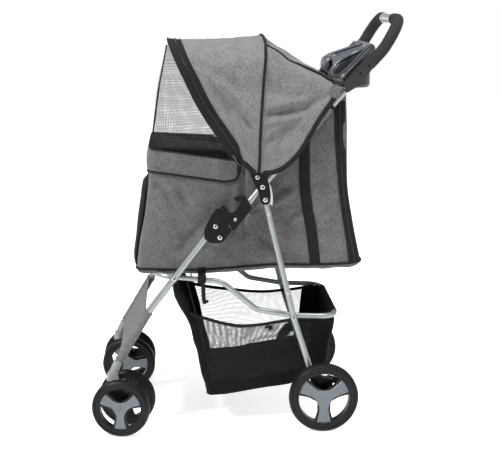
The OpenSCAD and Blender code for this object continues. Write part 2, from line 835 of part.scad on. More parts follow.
zip_slider(1);  // zip_slider_left
zip_slider(-1);  // zip_slider_right
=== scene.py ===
import math

import bpy
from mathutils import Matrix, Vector
from mathutils import noise


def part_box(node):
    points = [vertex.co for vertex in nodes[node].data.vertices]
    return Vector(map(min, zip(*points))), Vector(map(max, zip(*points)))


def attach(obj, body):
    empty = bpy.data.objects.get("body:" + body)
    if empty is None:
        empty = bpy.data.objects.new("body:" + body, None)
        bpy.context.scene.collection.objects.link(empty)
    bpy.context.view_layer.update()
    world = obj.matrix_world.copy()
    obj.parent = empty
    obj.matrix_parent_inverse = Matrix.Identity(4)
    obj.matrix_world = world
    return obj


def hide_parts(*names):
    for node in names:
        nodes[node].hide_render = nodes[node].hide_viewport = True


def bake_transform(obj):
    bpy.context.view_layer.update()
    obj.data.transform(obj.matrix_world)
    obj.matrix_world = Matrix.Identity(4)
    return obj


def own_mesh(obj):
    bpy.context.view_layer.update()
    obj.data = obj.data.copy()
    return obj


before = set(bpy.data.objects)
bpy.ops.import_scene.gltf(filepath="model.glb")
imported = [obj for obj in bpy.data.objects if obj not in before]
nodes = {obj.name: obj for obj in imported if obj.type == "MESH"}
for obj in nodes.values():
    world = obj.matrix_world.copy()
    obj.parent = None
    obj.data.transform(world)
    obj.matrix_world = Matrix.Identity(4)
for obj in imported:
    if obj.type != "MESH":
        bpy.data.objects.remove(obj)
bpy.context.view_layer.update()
MM = 0.001
SIDES = ((1, "left"), (-1, "right"))    # sign of x, name
HOOD_MID_Z = 770                        # mm; the hood's cloth faces away from this height
COIL_AT = 0.42                          # share of the front zip tape's width where its coil lies

# ---------- Materials ----------

def new_mat(name, base, rough, metallic=0.0, spec=0.5, sheen=0.0, coat=0.0, alpha=1.0):
    m = bpy.data.materials.new(name)
    m.use_nodes = True
    b = m.node_tree.nodes["Principled BSDF"]
    b.inputs["Base Color"].default_value = (*base, 1)
    b.inputs["Roughness"].default_value = rough
    b.inputs["Metallic"].default_value = metallic
    b.inputs["Specular IOR Level"].default_value = spec
    b.inputs["Sheen Weight"].default_value = sheen
    b.inputs["Sheen Roughness"].default_value = 0.5
    b.inputs["Coat Weight"].default_value = coat
    b.inputs["Coat Roughness"].default_value = 0.25
    b.inputs["Alpha"].default_value = alpha
    return m, m.node_tree, b


def node(t, kind, **values):
    n = t.nodes.new(kind)
    for k, v in values.items():
        if k in n.inputs:
            n.inputs[k].default_value = v
        else:
            setattr(n, k, v)
    return n


def coords(t, uv, scale):
    """Surface coordinates in millimetres (UV) or metres (object), scaled along each axis."""
    c = t.nodes.new("ShaderNodeTexCoord")
    m = node(t, "ShaderNodeMapping")
    m.inputs["Scale"].default_value = scale
    t.links.new(c.outputs["UV" if uv else "Object"], m.inputs["Vector"])
    return m.outputs["Vector"]


def noise_tex(t, vec, scale, detail=3.0, rough=0.55):
    n = node(t, "ShaderNodeTexNoise", Scale=scale, Detail=detail, Roughness=rough)
    t.links.new(vec, n.inputs["Vector"])
    return n.outputs["Fac"]


def ramp(t, fac, stops):
    r = t.nodes.new("ShaderNodeValToRGB")
    r.color_ramp.elements.remove(r.color_ramp.elements[1])
    for i, (pos, col) in enumerate(stops):
        e = r.color_ramp.elements[0] if i == 0 else r.color_ramp.elements.new(pos)
        e.position = pos
        e.color = (*col, 1)
    t.links.new(fac, r.inputs["Fac"])
    return r.outputs["Color"]


def math_node(t, op, a, b=None):
    n = t.nodes.new("ShaderNodeMath")
    n.operation = op
    for i, v in enumerate((a, b)):
        if v is None:
            continue
        if isinstance(v, (int, float)):
            n.inputs[i].default_value = v
        else:
            t.links.new(v, n.inputs[i])
    return n.outputs[0]


def bump(t, b, height, strength, distance):
    n = node(t, "ShaderNodeBump", Strength=strength, Distance=distance)
    t.links.new(height, n.inputs["Height"])
    t.links.new(n.outputs["Normal"], b.inputs["Normal"])


def wave(t, vec, scale, axis):
    w = node(t, "ShaderNodeTexWave", Scale=scale, Distortion=0.0)
    w.bands_direction = axis
    t.links.new(vec, w.inputs["Vector"])
    return w.outputs["Fac"]


def mat_cloth(name, dark, light, uv=True, thread=0.9, mottle=1.0, sheen=0.12, spec=0.12):
    """Heathered plain weave: streaks of dark and light thread both ways, slow mottling, and thread relief."""
    m, t, b = new_mat(name, light, 0.92, spec=spec, sheen=sheen)
    k = 1.0 if uv else 1000.0
    across = noise_tex(t, coords(t, uv, (k * 0.13, k * 0.62, k * 0.62)), 1.0, 2.0, 0.8)
    along = noise_tex(t, coords(t, uv, (k * 0.5, k * 0.12, k * 0.5)), 1.0, 2.0, 0.8)
    slow = noise_tex(t, coords(t, uv, (k * 0.03, k * 0.04, k * 0.03)), 1.0, 3.0, 0.6)
    mixed = math_node(t, "ADD", math_node(t, "MULTIPLY", across, 0.44), math_node(t, "MULTIPLY", along, 0.40))
    mixed = math_node(t, "ADD", mixed, math_node(t, "MULTIPLY", slow, 0.16 * mottle))
    mid = tuple((a + c) / 2 for a, c in zip(dark, light))
    col = ramp(t, mixed, [(0.34, dark), (0.5, mid), (0.66, light)])
    t.links.new(col, b.inputs["Base Color"])
    f = k / thread * 0.32
    v = coords(t, uv, (f, f, f))
    weave = math_node(t, "MAXIMUM", wave(t, v, 1.0, "X"), wave(t, v, 1.0, "Y"))
    bump(t, b, weave, 0.35, 0.0003)
    return m


def mat_net(name, thread, fill, cell, cover=0.6, sharp=8.0):
    """Knitted net: threads stay solid, the holes between them are mostly clear."""
    m, t, b = new_mat(name, thread, 0.8, spec=0.2)
    k = 2 * math.pi / cell / 20
    v = coords(t, True, (k, k, k))
    threads = math_node(t, "MAXIMUM", wave(t, v, 1.0, "X"), wave(t, v, 1.0, "Y"))
    slow = noise_tex(t, coords(t, True, (0.05, 0.02, 0.05)), 1.0, 2.0)
    a = math_node(t, "MULTIPLY", math_node(t, "POWER", threads, sharp), cover)
    a = math_node(t, "ADD", a, math_node(t, "MULTIPLY", slow, fill))
    t.links.new(math_node(t, "MINIMUM", a, 1.0), b.inputs["Alpha"])
    bump(t, b, threads, 0.3, 0.0003)
    return m


def mat_web(name, base, rib=1.6):
    m, t, b = new_mat(name, base, 0.75, spec=0.08, sheen=0.02)
    k = 2 * math.pi / rib / 20
    w = wave(t, coords(t, True, (k, k, k)), 1.0, "X")
    n = noise_tex(t, coords(t, True, (0.8, 0.8, 0.8)), 1.0)
    dark = tuple(c * 0.6 for c in base)
    light = tuple(c * 1.7 for c in base)
    t.links.new(ramp(t, math_node(t, "MULTIPLY", math_node(t, "ADD", w, n), 0.5), [(0.2, dark), (0.8, light)]),
                b.inputs["Base Color"])
    bump(t, b, w, 0.6, 0.0004)
    return m


def mat_hard(name, base, rough, metallic=0.0, grain=0.12, grain_scale=900.0, vary=0.15, spec=0.5, coat=0.0):
    """Moulded or painted surface: fine grain, slow tone and gloss variation."""
    m, t, b = new_mat(name, base, rough, metallic, spec, coat=coat)
    v = coords(t, False, (1, 1, 1))
    slow = noise_tex(t, v, 28.0, 4.0)
    dark = tuple(c * (1 - vary) for c in base)
    light = tuple(min(1, c * (1 + vary)) for c in base)
    t.links.new(ramp(t, slow, [(0.3, dark), (0.7, light)]), b.inputs["Base Color"])
    r = math_node(t, "ADD", math_node(t, "MULTIPLY", noise_tex(t, v, 60.0, 5.0), 0.22), rough - 0.11)
    t.links.new(r, b.inputs["Roughness"])
    bump(t, b, noise_tex(t, v, grain_scale, 2.0), grain, 0.0002)
    return m


M = {
    "tube": mat_hard("tube_paint", (0.235, 0.255, 0.255), 0.36, 0.75, 0.05, 700, 0.05),
    "steel": mat_hard("bright_steel", (0.45, 0.46, 0.47), 0.28, 1.0, 0.05, 1200, 0.08),
    "chrome": mat_hard("chrome", (0.86, 0.87, 0.88), 0.16, 1.0, 0.02, 1200, 0.03),
    "black": mat_hard("black_plastic", (0.0055, 0.0055, 0.0055), 0.4, 0.0, 0.25, 1400, 0.25, spec=0.09),
    # Tray plastic darkened below its rim copy (tray_rim): painted shade inside the cup wells and pocket, also used on
    # the deck, side beads and heels
    "tray": mat_hard("tray_plastic", (0.020, 0.0215, 0.025), 0.3, 0.0, 0.15, 1400, 0.12, spec=0.35),
    "tray_rim": mat_hard("tray_rim_plastic", (0.06, 0.065, 0.077), 0.26, 0.0, 0.12, 1400, 0.1, coat=0.3),
    "clamp": mat_hard("clamp_plastic", (0.017, 0.0172, 0.018), 0.36, 0.0, 0.2, 1400, 0.12, spec=0.25),
    "foam": mat_hard("grip_foam", (0.021, 0.021, 0.0215), 0.85, 0.0, 0.8, 1000, 0.12, spec=0.1),
    "tyre": mat_hard("tyre_rubber", (0.0065, 0.0065, 0.0065), 0.45, 0.0, 0.35, 800, 0.3, spec=0.12),
    "rim": mat_hard("rim_plastic", (0.009, 0.009, 0.009), 0.36, 0.0, 0.2, 1200, 0.2, spec=0.16),
    "insert": mat_hard("insert_plastic", (0.078, 0.094, 0.105), 0.36, 0.0, 0.15, 1200, 0.1),
    "socket": mat_hard("socket_plastic", (0.185, 0.19, 0.19), 0.5, 0.0, 0.2, 1200, 0.1),
    "board": mat_hard("board", (0.03, 0.03, 0.03), 0.7, 0.0, 0.3, 500, 0.2),
    "cloth": mat_cloth("grey_melange", (0.031, 0.030, 0.031), (0.196, 0.193, 0.196)),
    # Darker copy of the same grey melange: painted shade for the cabin walls, floor cloth, rim flap and the hood's
    # cuff and tip
    "cloth_painted_shade": mat_cloth("grey_melange_painted_shade", (0.021, 0.020, 0.0207), (0.146, 0.143, 0.145)),
    "cloth_light": mat_cloth("footrest_melange", (0.062, 0.062, 0.062), (0.142, 0.142, 0.142), mottle=0.7),
    "sleeve": mat_cloth("sleeve_melange", (0.035, 0.034, 0.034), (0.17, 0.165, 0.162)),
    "lining": mat_cloth("lining", (0.012, 0.012, 0.012), (0.035, 0.035, 0.035)),
    "black_cloth": mat_cloth("black_cloth", (0.003, 0.003, 0.003), (0.009, 0.009, 0.0087), sheen=0.03, spec=0.05),
    "piping": mat_web("piping", (0.0085, 0.0085, 0.008), 1.2),
    "web": mat_web("webbing", (0.0075, 0.0075, 0.007), 1.8),
    "tape": mat_web("zip_tape", (0.0085, 0.0085, 0.008), 1.0),
    "coil": mat_hard("zip_coil", (0.012, 0.012, 0.012), 0.35, 0.0, 0.2, 1200, 0.2, spec=0.2),
    "zip": mat_hard("zip_metal", (0.07, 0.07, 0.07), 0.35, 0.8, 0.1, 1200, 0.1),
    "net": mat_net("window_net", (0.05, 0.05, 0.052), 0.0, 3.6, 0.62),
    "basket_net": mat_net("basket_net", (0.012, 0.012, 0.012), 0.0, 2.9, 0.85, 3.6),
}

slots = {
    "tyre": "tyre", "rim": "rim", "leg_left": "tube", "leg_right": "tube", "lower_rail": "tube",
    "bow": "tube", "handle_tube": "tube", "hinge_stays": "steel", "rivets": "steel", "axle_left": "steel",
    "axle_right": "steel", "rear_axle": "steel", "handle_sleeve": "chrome", "socket": "socket",
    "tray_clamps": "clamp",
    "cup_tray": "tray", "grip": "foam", "board": "board", "cushion": "cloth", "canopy": "cloth", "cabin": "cloth",
    "footrest": "cloth_light", "basket": "black_cloth", "panel": "black_cloth", "straps": "web", "window": "net",
    "zip": "zip",
}
for name, o in nodes.items():
    pick = "black"
    for key, val in slots.items():
        if key in name:
            pick = val
            break
    o.data.materials.clear()
    o.data.materials.append(M[pick])

# ---------- Mesh helpers; sizes below are in millimetres ----------

def add_mesh(name, verts, faces, mat, body, uvs=None, smooth=True):
    me = bpy.data.meshes.new(name)
    me.from_pydata([(v[0] * MM, v[1] * MM, v[2] * MM) for v in verts], [], faces)
    if uvs:
        layer = me.uv_layers.new(name="UVMap")
        for poly in me.polygons:
            for li, vi in zip(poly.loop_indices, poly.vertices):
                layer.data[li].uv = uvs[vi]
    me.polygons.foreach_set("use_smooth", [smooth] * len(me.polygons))
    me.update()
    o = bpy.data.objects.new(name, me)
    bpy.context.scene.collection.objects.link(o)
    o.data.materials.append(M[mat] if isinstance(mat, str) else mat)
    if body:
        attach(o, body)
    return o


def fold_down(o):
    """Gives a soft piece its own copy of its mesh."""
    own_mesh(o)


def circle(k):
    """k angles that go once round."""
    return [2 * math.pi * i / k for i in range(k)]


def spline(pts, per=8, closed=False):
    """Catmull-Rom through points."""
    p = [Vector(q) for q in pts]
    n = len(p)
    out = []
    for i in range(n if closed else n - 1):
        a, b, c, d = (p[(i - 1) % n] if closed else p[max(i - 1, 0)], p[i], p[(i + 1) % n],
                      p[(i + 2) % n] if closed else p[min(i + 2, n - 1)])
        for j in range(per):
            t = j / per
            out.append(0.5 * ((2 * b) + (c - a) * t + (2 * a - 5 * b + 4 * c - d) * t * t
                              + (3 * b - a - 3 * c + d) * t ** 3))
    if not closed:
        out.append(p[-1])
    return out


def resample(pts, n, closed=False):
    """n + 1 points (n if closed) at equal spacing along a polyline."""
    p = [Vector(q) for q in pts]
    if closed:
        p = p + [p[0]]
    d = [0.0]
    for a, b in zip(p, p[1:]):
        d.append(d[-1] + (b - a).length)
    out, j = [], 0
    for i in range(n if closed else n + 1):
        s = d[-1] * i / n
        while j < len(d) - 2 and d[j + 1] < s:
            j += 1
        t = (s - d[j]) / max(d[j + 1] - d[j], 1e-9)
        out.append(p[j].lerp(p[j + 1], t))
    return out


def lerp_table(table, x):
    """Piecewise-linear lookup in rows of (x, value)."""
    if x <= table[0][0]:
        return table[0][1]
    for (x0, y0), (x1, y1) in zip(table, table[1:]):
        if x <= x1:
            return y0 + (y1 - y0) * (x - x0) / (x1 - x0)
    return table[-1][1]


def smooth_table(table, per=6):
    """The same table, rounded through its points."""
    return [(v.x, v.y) for v in spline([(a, b, 0) for a, b in table], per)]


def sweep(name, pts, profile, mat, body, ups=None, closed=False, caps=True, scale=None):
    """Carries a closed profile of (side, up) points along a path. ups gives the up direction at each point."""
    p = [Vector(q) for q in pts]
    n, k = len(p), len(profile)
    verts, uvs, faces = [], [], []
    up = None
    run = 0.0
    lap = [0.0]
    for a, b in zip(profile, profile[1:] + profile[:1]):
        lap.append(lap[-1] + math.dist(a, b))
    for i in range(n):
        a = p[(i - 1) % n] if closed or i > 0 else p[i]
        b = p[(i + 1) % n] if closed or i < n - 1 else p[i]
        t = (b - a).normalized()
        if ups is not None:
            up = Vector(ups[i])
        elif up is None:
            up = Vector((1, 0, 0)) if abs(t.x) < 0.9 else Vector((0, 0, 1))
        up = (up - t * up.dot(t)).normalized()
        side = t.cross(up)
        f = 1.0 if scale is None else scale(i / (n - 1))
        if i:
            run += (p[i] - p[i - 1]).length
        for j, (s, h) in enumerate(profile):
            verts.append(p[i] + side * s * f + up * h * f)
            uvs.append((run, lap[j]))
    for i in range(n if closed else n - 1):
        for j in range(k):
            a, b = i * k + j, i * k + (j + 1) % k
            c, d = ((i + 1) % n) * k + (j + 1) % k, ((i + 1) % n) * k + j
            faces.append((a, b, c, d))
    if caps and not closed:
        faces.append(tuple(range(k))[::-1])
        faces.append(tuple((n - 1) * k + j for j in range(k)))
    return add_mesh(name, verts, faces, mat, body, uvs)


def ring_profile(r, n=10, ry=None):
    ry = ry or r
    return [(r * math.cos(2 * math.pi * i / n), ry * math.sin(2 * math.pi * i / n)) for i in range(n)]


def strap_profile(w, t):
    """Flat strap's section with rounded edges, lying on its path: up is out of the surface."""
    h, e = w / 2, t / 2
    return [(-h + e, 0), (h - e, 0), (h, e), (h - e, t), (h * 0.33, t * 1.08), (-h * 0.33, t * 1.08), (-h + e, t),
            (-h, e)]


def tube(name, pts, r, mat, body, closed=False, n=10, ups=None, scale=None):
    return sweep(name, pts, ring_profile(r, n), mat, body, ups, closed, True, scale)


def strap(name, pts, ups, w, t, mat, body, closed=False):
    return sweep(name, pts, strap_profile(w, t), mat, body, ups, closed)

# ---------- Camera, light and floor ----------

camera = bpy.data.objects.new("camera", bpy.data.cameras.new("camera"))
bpy.context.scene.collection.objects.link(camera)
camera.data.lens = 89.85
camera.data.sensor_width = 36
azimuth, elevation = math.radians(86.645), math.radians(10.617)
back = Vector((math.sin(azimuth) * math.cos(elevation), -math.cos(azimuth) * math.cos(elevation),
               math.sin(elevation)))
camera.location = (3.122, -0.172, 1.059)
camera.rotation_mode = "QUATERNION"
camera.rotation_quaternion = (-back).to_track_quat("-Z", "Y")
bpy.context.scene.camera = camera


def area(name, loc, target, size, power):
    light = bpy.data.lights.new(name, "AREA")
    light.size = size
    light.energy = power
    o = bpy.data.objects.new(name, light)
    bpy.context.scene.collection.objects.link(o)
    o.location = loc
    o.rotation_mode = "QUATERNION"
    o.rotation_quaternion = (Vector(target) - Vector(loc)).to_track_quat("-Z", "Y")


area("key", (1.5, -2.2, 2.9), (0, 0, 0.5), 0.8, 165)
area("top", (0.7, 1.0, 3.1), (0, 0, 0.5), 1.0, 85)
area("rim", (0.8, 2.6, 1.8), (0, 0, 0.6), 1.4, 16)
world = bpy.data.worlds.new("studio")
bpy.context.scene.world = world
world.use_nodes = True
sky = world.node_tree
sky_dir = sky.nodes.new("ShaderNodeTexCoord")
sky_split = sky.nodes.new("ShaderNodeSeparateXYZ")
sky.links.new(sky_dir.outputs["Generated"], sky_split.inputs[0])
sky.links.new(ramp(sky, sky_split.outputs["Z"],
                   [(0.0, (1, 1, 1)), (0.02, (1, 1, 1)), (0.12, (0.42, 0.42, 0.42)), (0.5, (0.34, 0.34, 0.34))]),
              sky.nodes["Background"].inputs[0])
sky.nodes["Background"].inputs[1].default_value = 1.0
bpy.context.scene.view_settings.view_transform = "Standard"

floor_mat, _, floor_bsdf = new_mat("studio_floor", (0.9, 0.9, 0.9), 0.9, spec=0.0)
floor_bsdf.inputs["Emission Color"].default_value = (1, 1, 1, 1)
floor_bsdf.inputs["Emission Strength"].default_value = 0.74
floor = add_mesh("studio_floor", [(-9000, -9000, -0.5), (9000, -9000, -0.5), (9000, 9000, -0.5), (-9000, 9000, -0.5)],
                 [(0, 1, 2, 3)], floor_mat, None)

# ---------- Cloth surfaces ----------

def fold_height(y, z, folds):
    """Height of soft creases seen from the side, from rows of (y0, z0, y1, z1, width, height)."""
    h = 0.0
    for y0, z0, y1, z1, w, a in folds:
        dy, dz = y1 - y0, z1 - z0
        t = ((y - y0) * dy + (z - z0) * dz) / (dy * dy + dz * dz)
        if -0.25 < t < 1.25:
            c = min(1, max(0, t))
            d = math.hypot(y - y0 - c * dy, z - z0 - c * dz)
            h += a * min(1, (t + 0.25) / 0.4) * min(1, (1.25 - t) / 0.4) * math.exp(-(d / w) ** 2)
    return h


def slow_noise(a, b, c=0.0):
    return noise.noise(Vector((a, b, c)))


def shell(name, f, nu, nv, mat, inner, body, thick, su=1.0, sv=1.0, closed=False):
    """Closed cloth shell: f(u, v) is its outer face, and the inner face lies thick mm inside it."""
    cols = nu if closed else nu + 1
    rows = nv + 1
    p = [[f(i / nu, j / nv) for j in range(rows)] for i in range(cols)]
    n = [[None] * rows for _ in range(cols)]
    for i in range(cols):
        for j in range(rows):
            a = p[(i + 1) % cols][j] if closed or i < cols - 1 else p[i][j]
            b = p[i - 1][j] if closed or i > 0 else p[i][j]
            c = p[i][min(j + 1, nv)]
            d = p[i][max(j - 1, 0)]
            k = (a - b).cross(c - d)
            n[i][j] = k.normalized() if k.length > 1e-9 else Vector((0, 0, 1))
    verts = [q for col in p for q in col]
    verts += [p[i][j] - n[i][j] * thick for i in range(cols) for j in range(rows)]
    uvs = [(su * i / nu, sv * j / nv) for i in range(cols) for j in range(rows)] * 2
    m = cols * rows
    faces, which = [], []
    for i in range(nu):
        for j in range(nv):
            a, b = i * rows + j, ((i + 1) % cols) * rows + j
            faces.append((a, b, b + 1, a + 1))
            which.append(0)
            faces.append((m + a, m + a + 1, m + b + 1, m + b))
            which.append(1)
        for j in (0, nv):
            a, b = i * rows + j, ((i + 1) % cols) * rows + j
            faces.append((a, m + a, m + b, b) if j == 0 else (a, b, m + b, m + a))
            which.append(0)
    if not closed:
        for i in (0, nu):
            for j in range(nv):
                a = i * rows + j
                faces.append((a, a + 1, m + a + 1, m + a) if i == 0 else (a, m + a, m + a + 1, a + 1))
                which.append(0)
    o = add_mesh(name, verts, faces, mat, body, uvs)
    o.data.materials.append(M[inner])
    o.data.polygons.foreach_set("material_index", which)
    o.data.update()
    return o


def arch(half, n=90):
    """Full arch from its left half: equal steps along it, then mirrored."""
    left = resample(spline(half, 8), n)
    return left + [Vector((-q.x, q.y, q.z)) for q in left[-2::-1]]


def at(curve, u):
    k = min(max(u, 0), 1) * (len(curve) - 1)
    i = min(int(k), len(curve) - 2)
    return curve[i].lerp(curve[i + 1], k - i)

# ---------- Hood: one curved sheet over two bows ----------

edge_front = arch([(202, 12, 640), (201, -12, 655), (200, -42, 668), (195, -77, 719), (190, -120, 784),
                   (184, -156.5, 857),
                   (178, -171, 888), (160, -182, 914), (132, -189, 931), (100, -192, 937), (50, -194, 940),
                   (0, -194, 941)])
edge_rib = arch([(202, 20, 636.5), (201, 22, 660), (197, 24, 720), (191, 28, 784), (184, 33, 850), (177, 37, 892),
                 (159, 39, 921), (131, 40, 938), (100, 40, 944), (50, 40, 949), (0, 40, 951)])
edge_rear = arch([(202, 30, 636.5), (201, 52, 636.5), (200, 78, 647), (198, 102, 667), (196, 122, 691),
                  (191, 146, 729),
                  (186, 165, 761), (175, 206, 819), (165, 206, 836), (140, 206, 846), (90, 206, 849), (0, 206, 850)])
front_folds = [(-79, 854, 23, 751, 10, 6.5), (-70, 832, 6, 740, 8, -6.8), (-50, 773, 4, 691, 7, 4.4),
               (-62, 800, -6, 712, 7, -4.6),
               (-24, 775, 20, 702, 7, 3.4), (-30, 802, 18, 728, 8, -3.0), (-120, 900, -20, 830, 14, -4.0),
               (-110, 880, -30, 800, 11, 3.6),
               (-150, 870, -70, 790, 10, 3.0), (-160, 915, -60, 905, 12, -2.4)]
rear_folds = [(33, 769, 130, 785, 9, -8.0), (130, 785, 196, 818, 9, -7.0), (36, 787, 128, 806, 11, 6.5),
              (34, 752, 120, 766, 9, 5.5),
              (34, 822, 120, 818, 10, -3.0), (40, 804, 136, 830, 10, 2.4), (30, 700, 92, 735, 9, -3.8),
              (30, 716, 90, 752, 8, 3.4),
              (60, 690, 130, 770, 8, -3.0), (44, 900, 150, 850, 14, 2.4), (30, 680, 60, 668, 7, 2.4)]


def away(n, p):
    """Direction n at p, turned to point out of the hood."""
    return -n if n.dot(p - Vector((0, p.y, HOOD_MID_Z))) < 0 else n


def hood_point(a, b, u, v, folds, sag):
    p, q = at(a, u), at(b, u)
    o = p.lerp(q, v)
    t = at(a, u + 0.01) - at(a, u - 0.01)
    n = t.cross(q - p)
    if n.length < 1e-6:
        return o
    n.normalize()
    n = away(n, o)
    span = (q - p).length
    slack = min(1, span / 110)
    h = fold_height(o.y, o.z, folds) * slack * min(1, 4 * v, 4 * (1 - v))
    h += slack * 5.0 * slow_noise(o.x * 0.013, o.y * 0.02, o.z * 0.015)
    h += slack * 2.0 * slow_noise(o.x * 0.03, o.y * 0.045, o.z * 0.04 + 7) * min(1, 5 * v, 5 * (1 - v))
    return o + n * (h - sag * slack * 4 * v * (1 - v))


def hood_front(u, v):
    return hood_point(edge_rib, edge_front, u, v, front_folds, 4.5)


def hood_rear(u, v):
    return hood_point(edge_rear, edge_rib, u, v, rear_folds, 3.5)


def blend_front(o):
    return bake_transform(o)


def blend_rear(o):
    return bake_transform(o)


o = shell("hood_front", hood_front, 220, 46, "cloth", "lining", None, 2.0, 900, 210)
blend_front(o)
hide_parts("canopy_front")
o = shell("hood_rear", hood_rear, 220, 46, "cloth", "lining", None, 2.0, 900, 190)
blend_rear(o)
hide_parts("canopy_rear")


def point_and_normal(f, u, v, e=0.003):
    """Point of a hood surface f, and its outward direction there."""
    n = (f(u + e, v) - f(u - e, v)).cross(f(u, min(v + e, 1)) - f(u, max(v - e, 0)))
    p = f(u, v)
    return p, away(n.normalized() if n.length > 1e-9 else Vector((0, 0, 1)), p)


def on_surface(f, us, vs, lift):
    """Lifted points and outward directions on a hood surface f."""
    pts, ups = [], []
    for u, v in zip(us, vs):
        p, n = point_and_normal(f, u, v)
        pts.append(p + n * lift)
        ups.append(n)
    return pts, ups


steps = [i / 180 for i in range(181)]
# Rib cover over the middle bow
pts, ups = on_surface(hood_front, steps, [0.0] * 181, 0.3)
o = sweep("rib_cover", pts, [(-3.4, 0), (3.4, 0), (3.2, 1.2), (1.6, 2.7), (0, 3.1), (-1.6, 2.7), (-3.2, 1.2)],
          "piping",
          "mid_bow_frame", ups)
# Bound lower and rear edge of the hood
pts, ups = on_surface(hood_rear, steps, [0.0] * 181, 0.2)
o = sweep("hood_binding", pts, [(-5.2, -1.9), (5.2, -1.9), (5.6, 0.2), (5.0, 1.6), (0, 2.1), (-5.0, 1.6),
                                (-5.6, 0.2)], "piping", None, ups)
blend_rear(o)
# Side seams on the rear half, thickening into straps toward the tray
for side, u0 in (("left", 0.345), ("right", 0.655)):
    vs = [1 - i / 40 for i in range(41)]
    pts, ups = on_surface(hood_rear, [u0] * 41, vs, 0.2)
    o = sweep("hood_seam_" + side, pts, strap_profile(7.0, 1.7), "piping", None, ups,
              scale=lambda t: 1.0 + 1.3 * max(0.0, t - 0.35) / 0.65)
    blend_rear(o)

# Double zip tape along the front edge, its coil between the two tapes
def tape_surface(u, k):
    """The zip tapes are 33 mm wide together, and narrow to a thin binding beside the hinges."""
    t = min(1.0, max(0.0, (min(u, 1 - u) - 0.02) / 0.075))
    wide = 8 + 25 * t * t * (3 - 2 * t)
    v = 1 - wide * (1 - k) / max((at(edge_front, u) - at(edge_rib, u)).length, 34)
    p, n = point_and_normal(hood_front, u, v)
    ridge = (1.0 * math.exp(-((k - COIL_AT) / 0.06) ** 2) + 0.5 * math.exp(-((k - 0.04) / 0.05) ** 2)
             + 0.5 * math.exp(-((k - 0.96) / 0.05) ** 2))
    return p + n * (1.0 + ridge)


o = shell("zip_tape", tape_surface, 240, 22, "tape", "tape", None, 0.9, 900, 33)
blend_front(o)


def tape_line(k, lift):
    pts, ups = [], []
    for u in [0.03 + 0.94 * i / 240 for i in range(241)]:
        a = tape_surface(u, k)
        along = tape_surface(u + 0.003, k) - tape_surface(u - 0.003, k)
        over = tape_surface(u, k + 0.02) - tape_surface(u, k - 0.02)
        n = away(along.cross(over).normalized(), a)
        pts.append(a + n * lift)
        ups.append(n)
    return pts, ups


pts, ups = tape_line(COIL_AT, 0.2)
o = tube("zip_coil", pts, 1.5, "coil", None, n=8, ups=ups)
blend_front(o)
for nm, k in (("zip_edge_rear", 0.02), ("zip_edge_front", 0.98)):
    pts, ups = tape_line(k, 0.3)
    o = tube(nm, pts, 1.3, "piping", None, n=8, ups=ups)
    blend_front(o)

# ---------- Cabin: a lofted cloth shell on a rounded rectangle ----------

cabin_w = 155.0
front_line = [(380, -268), (393, -273), (460, -265.5), (519, -253.5), (572, -246), (628, -241), (664, -242),
              (692, -236), (726, -229)]
rear_line = [(390, 268), (405, 275), (412, 274), (469, 261.6), (530, 250), (561, 244.5), (601, 239.5), (707, 237.5),
             (743, 237),
             (826, 233.5)]
hem_line = [(-273, 397), (-184, 394.5), (-106, 394), (26, 402), (65, 404.5), (143, 402.5), (220, 404), (257, 407),
            (276, 412)]
rim_line = [(-240, 690), (-142, 675), (-43, 661), (-25, 663), (0, 690), (50, 745), (120, 797), (206, 816), (236, 824)]
front_of = smooth_table(front_line)
rear_of = smooth_table(rear_line)
hem_of = smooth_table(hem_line)
cabin_folds = [(-223, 603, -181, 562, 9, -3.4), (-207, 612, -162, 570, 9, 3.0), (102, 596, 5, 548, 9, -3.8),
               (108, 580, 15, 530, 9, 3.2),
               (150, 538, 44, 499, 10, -3.2), (140, 520, 40, 480, 10, 2.8), (-109, 506, -170, 434, 12, -3.2),
               (-90, 500, -150, 425, 12, 2.8),
               (20, 480, 100, 410, 10, -3.2), (30, 495, 115, 425, 10, 3.0), (-30, 600, -34, 430, 8, 2.4),
               (6, 600, 2, 420, 8, 2.4),
               (58, 607, 106, 577, 11, -2.6), (40, 590, 90, 552, 12, 2.2), (27, 470, 104, 414, 9, -2.4),
               (60, 470, 118, 430, 12, 2.4),
               (-60, 560, -20, 470, 9, -2.0), (-190, 600, -150, 520, 12, 2.0), (-200, 520, -120, 430, 12, -2.2),
               (-240, 560, -170, 480, 9, 1.8), (-120, 460, -40, 410, 10, 2.0), (180, 560, 200, 430, 12, 1.8),
               (190, 700, 170, 620, 12, 1.6),
               (-12, 640, -18, 415, 2.6, -2.2)]


def side_push(y, z, way):
    """How far the side panel stands out of its plane."""
    h = 6.5 * slow_noise(y * 0.022, z * 0.009, 3.0 * way) + 2.4 * slow_noise(y * 0.045, z * 0.02, 9.0 * way)
    h += 2.2 * fold_height(y, z, cabin_folds if way > 0 else cabin_folds[2:])
    inside = min(1, (z - 392) / 30, (270 - abs(y)) / 25)
    return h * max(0, inside) * 0.8


def side_x(y, z):
    """Outer face of the left side panel."""
    r = 15.0
    edge = min(y - lerp_table(front_of, z), lerp_table(rear_of, z) - y)
    round_off = 0.0 if edge >= r else r - math.sqrt(max(0.0, r * r - (r - max(edge, 0.0)) ** 2))
    return cabin_w - round_off + side_push(y, z, 1)


def plan(nside, nend, ncorner):
    """Rows round a rounded rectangle: (which part, side or place across, share of the side or of the corner)."""
    corner = range(1, ncorner)
    rows = [("side", 1, k / nside) for k in range(nside + 1)]
    rows += [("rear", 1, k / ncorner) for k in corner]
    rows += [("back", 1 - 2 * k / nend, 0) for k in range(nend + 1)]
    rows += [("rear", -1, 1 - k / ncorner) for k in corner]
    rows += [("side", -1, 1 - k / nside) for k in range(nside + 1)]
    rows += [("fore", -1, 1 - k / ncorner) for k in corner]
    rows += [("face", -1 + 2 * k / nend, 0) for k in range(nend + 1)]
    rows += [("fore", 1, k / ncorner) for k in corner]
    return rows


